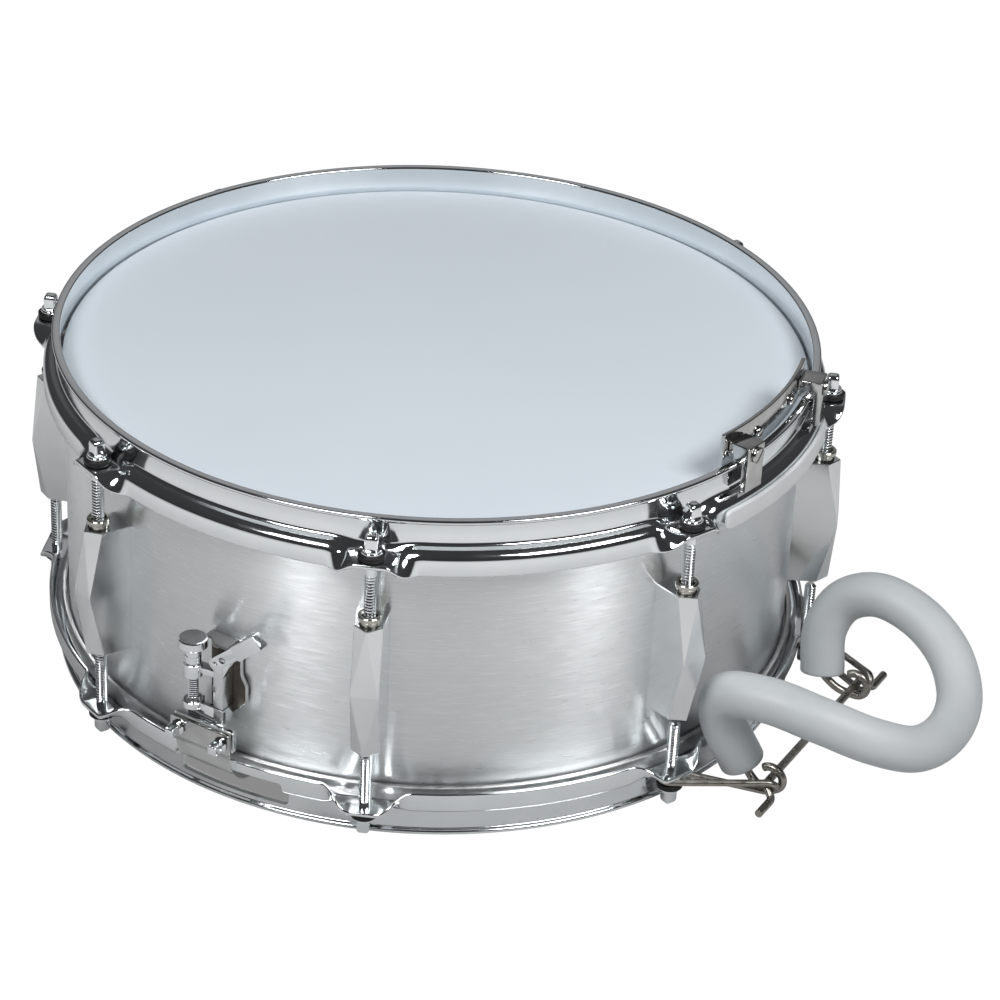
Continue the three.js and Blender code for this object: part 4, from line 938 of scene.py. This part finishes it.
# Carry rail, its posts and screws, and the hoop guard
RAIL_MIDDLE, RAIL_HALF, RAIL_LINE = 1.5, 14.5, 4.4
rail_solid = swept(box(174.8, 176.8, 9.4, 25.4), RAIL_MIDDLE, RAIL_HALF, 48)
o = mesh("carry_rail_fine", *rail_solid, RAIL, "dull_steel", 30)
bevelled(o, 0.4, 3)
put(o, "drum", "carry_rail")
POST_SECTION = [(177.1, 0.3), (184.7, 0.3), (184.7, -13.4), (188.2, -13.4), (188.2, 9), (177.1, 9)]
POST_SCREW = [
    (2.0, 173.7), (2.0, 188.5), (3.7, 188.5), (3.9, 188.8),
    (3.9, 189.4), (3.5, 190.0), (2.6, 190.2), (0.05, 190.25),
]
RAIL_SCREW = [
    (1.4, 173.7), (1.4, 177.1), (2.6, 177.1), (2.6, 177.7), (2.2, 178.4), (1.3, 178.75), (0.05, 178.8),
]
SLOT_TILT = 0.9


def round_screw(name, az, section, count):
    """A round-headed screw pointing outward through the rail."""
    return mesh(name, *turned(pin(section, 0, LIP + RAIL_LINE, count), az), RAIL, "dull_steel", 40)


def slot_point(u, w):
    x = u * cos(SLOT_TILT) - w * sin(SLOT_TILT)
    return (x, LIP + RAIL_LINE + u * sin(SLOT_TILT) + w * cos(SLOT_TILT))


for k, az in enumerate((-10.0, 13.0), 1):
    post = side_plate([(r, LIP + z) for r, z in POST_SECTION], -6, 6)
    node_name = f"carry_post_{k}"
    place(f"{node_name}_fine", post, RAIL, "dull_steel", az, bevel=0.5, segments=3, nodes=(node_name,))
    o = round_screw(f"carry_post_screw_{k}_fine", az, POST_SCREW, 32)
    slot = plate([slot_point(*p) for p in box(-5, 5, -0.5, 0.5)], 189.5, 191.5)
    carve(o, mesh("slot", *turned(slot, az), RAIL))
    smooth_angle(o.data, 35)
    put(o, "drum", f"carry_post_screw_{k}")
for k, az in enumerate((-4.2, 7.2), 1):
    put(round_screw(f"carry_rail_screw_{k}_fine", az, RAIL_SCREW, 28), "drum", f"carry_rail_screw_{k}")

GUARD_TOP, GUARD_LOW, GUARD_LIP = LIP - 17.6, LIP - 25.8, 1.5
GUARD_HALF, GUARD_STEPS = 15.8, 96
TIP_START, TIP_LENGTH = 0.93, 0.07
GUARD_CENTRE, GUARD_DROP, GUARD_END = 189, 4, 0.45
corners = [
    (187.8, GUARD_LOW), (187.8, GUARD_TOP), (190.1, GUARD_TOP),
    (190.1, GUARD_LOW - GUARD_LIP), (185.6, GUARD_LOW - GUARD_LIP), (185.6, GUARD_LOW),
]
section = rounded(corners, [0.3, 0.8, 0.9, 1.0, 0.5, 0.5], 4)
guard_rings = []
for i in range(GUARD_STEPS + 1):
    # steps close up towards the ends, where the section shrinks to a rounded tip
    t = -cos(pi * i / GUARD_STEPS)
    a = radians(GUARD_HALF * t)
    into_tip = max(0, (abs(t) - TIP_START) / TIP_LENGTH)
    full = min(1, GUARD_END + (1 - GUARD_END) * (1 - into_tip ** 2) ** 0.5)
    middle = GUARD_TOP - GUARD_DROP
    shrunk = [(GUARD_CENTRE + (r - GUARD_CENTRE) * full, middle + (z - middle) * full) for r, z in section]
    guard_rings.append([(r * cos(a), r * sin(a), z) for r, z in shrunk])
put(mesh("hoop_guard_fine", *loft(guard_rings), GUARD, "white_rubber", 45), "drum", "hoop_guard")

# Leg rest: hose, core rod, crossbar and links
BAR_X, BAR_HEIGHT = 214.6, 14.2
REST_REACH, REST_HALF = 66, 57
HOSE_RADIUS, HOSE_BORE, HOSE_SIDES = 10.75, 3.0, 40
CORE_RADIUS, BAR_RADIUS, LINK_RADIUS = 2.0, 1.9, 1.65
EYE_RADIUS, EYE_Y = 6, 46.9
# the hose's line in shares of REST_REACH outward, of REST_HALF across and of REST_REACH upward
HOSE_SHARES = [
    (-0.238, -0.795, 0.252), (-0.379, -0.895, 0.602), (-0.345, -0.984, 0.855), (-0.021, -0.996, 0.947),
    (0.371, -0.932, 0.891), (0.702, -0.753, 0.762), (0.92, -0.43, 0.624), (0.991, 0.002, 0.588),
    (0.92, 0.43, 0.641), (0.697, 0.753, 0.782), (0.374, 0.932, 0.901), (0.027, 0.996, 0.925),
    (-0.218, 0.984, 0.79), (-0.312, 0.895, 0.565), (-0.262, 0.793, 0.245),
]


def rest_point(out, across, up):
    return Vector((BAR_X + out * REST_REACH, across * REST_HALF, above(up * REST_REACH)))


def curve(points, steps):
    """A centripetal Catmull-Rom curve through all the points."""
    points = [Vector(p) for p in points]
    points = [points[0] * 2 - points[1]] + points + [points[-1] * 2 - points[-2]]
    out = []
    for p0, p1, p2, p3 in zip(points, points[1:], points[2:], points[3:]):
        t1 = (p1 - p0).length ** 0.5
        t2 = t1 + (p2 - p1).length ** 0.5
        t3 = t2 + (p3 - p2).length ** 0.5
        for s in range(steps):
            t = t1 + (t2 - t1) * s / steps
            a1 = p0 * ((t1 - t) / t1) + p1 * (t / t1)
            a2 = p1 * ((t2 - t) / (t2 - t1)) + p2 * ((t - t1) / (t2 - t1))
            a3 = p2 * ((t3 - t) / (t3 - t2)) + p3 * ((t - t2) / (t3 - t2))
            b1 = a1 * ((t2 - t) / t2) + a2 * (t / t2)
            b2 = a2 * ((t3 - t) / (t3 - t1)) + a3 * ((t - t1) / (t3 - t1))
            out.append(b1 * ((t2 - t) / (t2 - t1)) + b2 * ((t - t1) / (t2 - t1)))
    out.append(points[-2])
    return out


hose_line = curve([rest_point(*p) for p in HOSE_SHARES], 12)
outer = transported(hose_line, HOSE_RADIUS, HOSE_SIDES)
inner = transported(hose_line, HOSE_BORE, HOSE_SIDES)


def hose_end(i, neighbour):
    """The hose's last rings, drawn in a little for its rounded rim."""
    centre = hose_line[i]
    along = (centre - hose_line[neighbour]).normalized()
    rings = []
    for radius, reach in ((HOSE_RADIUS, -0.9), (10.5, -0.3), (10.05, 0.0)):
        share = radius / HOSE_RADIUS
        rings.append([tuple(centre + (Vector(p) - centre) * share + along * reach) for p in outer[i]])
    return rings


last = len(hose_line) - 1
outside = hose_end(0, 1)[::-1] + outer[1:-1] + hose_end(last, last - 1)
inside = [inner[-1]] + [inner[i] for i in range(last - 1, 0, -6)] + [inner[0]]
hose = mesh("hose_fine", *loft(outside + inside, closed=True), HOSE, "grey_hose", 40)
put(hose, "leg_rest", "leg_rest_hose")


def eye(side, steps=26):
    """The rod's eye round the crossbar, from its free end to where the rod leaves it."""
    turns = [radians(130 - 220 * i / steps) for i in range(steps + 1)]
    centre = (BAR_X, side * EYE_Y, above(BAR_HEIGHT))
    return [
        Vector((centre[0] + EYE_RADIUS * cos(t), centre[1], centre[2] + EYE_RADIUS * sin(t)))
        for t in turns
    ]


def shank(side):
    return [rest_point(-0.085, side * 0.823, 0.124), rest_point(-0.156, side * 0.802, 0.157)]


near_eye, far_eye = eye(-1), eye(1)[::-1]
lead = curve(near_eye[-2:] + shank(-1) + hose_line[:2], 5)
tail = curve(hose_line[-2:] + shank(1)[::-1] + far_eye[:2], 5)
core = near_eye[:-2] + lead + hose_line[4:-4:4] + tail + far_eye[2:]
rod_mesh = mesh("core_rod_fine", *loft(transported(core, CORE_RADIUS, 16)), STEEL, "dull_steel", 50)
put(rod_mesh, "leg_rest", "leg_rest_rod")

half = [
    (BAR_X, 52.9, BAR_HEIGHT), (BAR_X + 5.2, 55.7, BAR_HEIGHT - 4.7), (BAR_X + 5.2, 69.7, BAR_HEIGHT - 4.7),
]
path = [(x, -y, above(h)) for x, y, h in reversed(half)] + [(x, y, above(h)) for x, y, h in half]
bar = rounded(path, 2.2, 6, closed=False)
crossbar = mesh("crossbar_fine", *loft(transported(bar, BAR_RADIUS, 16)), STEEL, "dull_steel", 50)
put(crossbar, "drum", "leg_rest_crossbar")


def link(k, side):
    """A closed wire loop, level round its rod and twisted by 60 degrees where it holds the bar."""
    a = radians(side * HALF_PITCH)
    root = Vector((ROD_CIRCLE * cos(a), ROD_CIRCLE * sin(a), above(EAR_FACE - 0.45 - LINK_RADIUS)))
    tip = Vector((BAR_X + 1.04, side * 53.46, above(BAR_HEIGHT - 0.94)))
    along = (tip - root).normalized()
    flat = (Vector((0, 0, 1)).cross(along) * side).normalized()
    twisted = Matrix.Rotation(side * radians(60), 3, along) @ flat
    points = []
    for centre, across, bow_radius, start in ((tip, twisted, 4.6, 0.0), (root, flat, 5.0, 1.0)):
        for i in range(21):
            t = pi * (start + i / 20)
            points.append(centre + across * (bow_radius * cos(t)) + along * (bow_radius * sin(t)))
    rings = transported(points, LINK_RADIUS, 14, closed=True)
    o = mesh(f"leg_rest_link_{k}_fine", *loft(rings, closed=True), STEEL, "dull_steel", 60)
    put(o, "drum", f"leg_rest_link_{k}")


link(1, -1)
link(2, 1)

# Camera, placed as in the photograph
camera_data = bpy.data.cameras.new("camera")
camera_data.sensor_width = 36
camera_data.lens = 117.381
camera = bpy.data.objects.new("camera", camera_data)
camera.matrix_world = Matrix((
    (0.864319, -0.2879436, 0.4123605, 0.692054),
    (0.5008637, 0.4182957, -0.7577362, -1.20075),
    (0.0456966, 0.8614622, 0.5057614, 0.729845),
    (0, 0, 0, 1),
))
SCENE.collection.objects.link(camera)
SCENE.camera = camera
SCENE.view_settings.view_transform = "Standard"
SCENE.view_settings.look = "None"

# World: white to the camera, a dark studio with one paler side to everything else
STUDIO_AZ, STUDIO_RISE = 120, (0.866, 0.5)
STUDIO_TONES = [
    (0.0, (0.035, 0.035, 0.036)), (0.8, (0.045, 0.045, 0.047)),
    (0.93, (0.14, 0.14, 0.143)), (1.0, (0.3, 0.3, 0.305)),
]


def seen(nt):
    """1 for what the camera sees, straight or through something clear."""
    path = node(nt, "ShaderNodeLightPath")
    either = node(nt, "ShaderNodeMath", operation="MAXIMUM")
    nt.links.new(path.outputs["Is Camera Ray"], either.inputs[0])
    nt.links.new(path.outputs["Is Transmission Ray"], either.inputs[1])
    return either.outputs[0]


def mixed(nt, factor, first, second):
    n = node(nt, "ShaderNodeMixShader")
    nt.links.new(factor, n.inputs["Fac"])
    nt.links.new(first, n.inputs[1])
    nt.links.new(second, n.inputs[2])
    return n.outputs["Shader"]


world = bpy.data.worlds.new("world")
SCENE.world = world
world.use_nodes = True
sky = world.node_tree
studio = sky.nodes["Background"]
studio.inputs["Strength"].default_value = 1.0
white = node(sky, "ShaderNodeBackground", Color=(1, 1, 1, 1), Strength=1.0)
where = node(sky, "ShaderNodeTexCoord")
towards = node(sky, "ShaderNodeVectorMath", operation="DOT_PRODUCT")
sky.links.new(where.outputs["Generated"], towards.inputs[0])
flat, rise = STUDIO_RISE
studio_turn = radians(STUDIO_AZ)
towards.inputs[1].default_value = (cos(studio_turn) * flat, sin(studio_turn) * flat, rise)
sky.links.new(ramp(sky, towards.outputs["Value"], STUDIO_TONES), studio.inputs["Color"])
surface = mixed(sky, seen(sky), studio.outputs["Background"], white.outputs["Background"])
sky.links.new(surface, sky.nodes["World Output"].inputs["Surface"])

# Lamps, in metres and watts
TARGET = Vector((0, 0, -0.05))
STRIP_RISE, STRIP_WIDTH, STRIP_HEIGHT = 14, 0.26, 0.6
STRIPS = [("strip_left", -94, 6), ("strip_right", -14, 6), ("strip_back", 112, 5), ("strip_far", 182, 5)]


def area(name, az, el, distance, width, power, height):
    """A rectangular lamp that looks at the drum from an azimuth and elevation."""
    a, b = radians(az), radians(el)
    lamp = bpy.data.lights.new(name, "AREA")
    lamp.shape = "RECTANGLE"
    lamp.size = width
    lamp.size_y = height
    lamp.energy = power
    o = bpy.data.objects.new(name, lamp)
    o.location = Vector((cos(a) * cos(b), sin(a) * cos(b), sin(b))) * distance
    o.rotation_euler = (TARGET - o.location).to_track_quat("-Z", "Y").to_euler()
    SCENE.collection.objects.link(o)
    return o


area("front", -95, 45, 1.6, 0.62, 12.3, 0.42)
area("side", -14, 45, 1.6, 0.8, 15, 0.42)
area("top", 120, 78, 2.1, 1.0, 4.5, 1.0).visible_glossy = False
# the strips light only the shell, for its upright streaks
lit = bpy.data.collections.new("strip_lit")
lit.objects.link(shell)
for name, az, power in STRIPS:
    strip = area(name, az, STRIP_RISE, 1.6, STRIP_WIDTH, power, STRIP_HEIGHT)
    strip.light_linking.receiver_collection = lit

# Floor: white to the camera round the drum and in painted shade under it; to all else grey, with a painted
# glow that is dark at the hoop's rim and brightest about half a metre out
FLOOR_HALF, FLOOR_GAP, FLOOR_GREY = 6.0, 0.0004, 0.46
SHADE_FROM, SHADE_TO, SHADE_DARK, SHADE_WHITE = 0.172, 0.181, 0.26, 1.02
GLOW_REACH = 2
# painted glow by share of GLOW_REACH from the drum's axis: a dark ring at the hoop's rim as painted contact
# shade, a painted pool of light about half a metre out
GLOW_TONES = [(0.083, 0.3), (0.09, 0.0), (0.15, 0.1), (0.23, 0.26), (0.5, 0.14), (0.95, 0.02)]
floor_mesh = bpy.data.meshes.new("floor")
floor_corners = [(-1, -1), (1, -1), (1, 1), (-1, 1)]
floor_mesh.from_pydata([(x * FLOOR_HALF, y * FLOOR_HALF, 0) for x, y in floor_corners], [], [(0, 1, 2, 3)])
floor = added("floor", floor_mesh)
floor.location.z = LOW * MM - FLOOR_GAP
material, nt, matt = principled("floor")
matt.inputs["Base Color"].default_value = (FLOOR_GREY, FLOOR_GREY, FLOOR_GREY, 1)
matt.inputs["Roughness"].default_value = 0.9
matt.inputs["Specular IOR Level"].default_value = 0.0
where = node(nt, "ShaderNodeTexCoord")
distance = node(nt, "ShaderNodeVectorMath", operation="LENGTH")
nt.links.new(where.outputs["Object"], distance.inputs[0])
tones = [(position, (value, value, value)) for position, value in GLOW_TONES]
glow = node(nt, "ShaderNodeEmission")
share = spread(nt, distance.outputs["Value"], 0, 1, 0, GLOW_REACH)
nt.links.new(ramp(nt, share, tones), glow.inputs["Color"])
both = node(nt, "ShaderNodeAddShader")
nt.links.new(matt.outputs["BSDF"], both.inputs[0])
nt.links.new(glow.outputs["Emission"], both.inputs[1])
backdrop = node(nt, "ShaderNodeEmission", Color=(1, 1, 1, 1))
shade = spread(nt, distance.outputs["Value"], SHADE_DARK, SHADE_WHITE, SHADE_FROM, SHADE_TO)
nt.links.new(shade, backdrop.inputs["Strength"])
top = mixed(nt, seen(nt), both.outputs["Shader"], backdrop.outputs["Emission"])
# from below, the floor is left out so that the underside shows
facing = node(nt, "ShaderNodeNewGeometry")
clear = node(nt, "ShaderNodeBsdfTransparent")
surface = mixed(nt, facing.outputs["Backfacing"], top, clear.outputs["BSDF"])
nt.links.new(surface, nt.nodes["Material Output"].inputs["Surface"])
floor_mesh.materials.append(material)
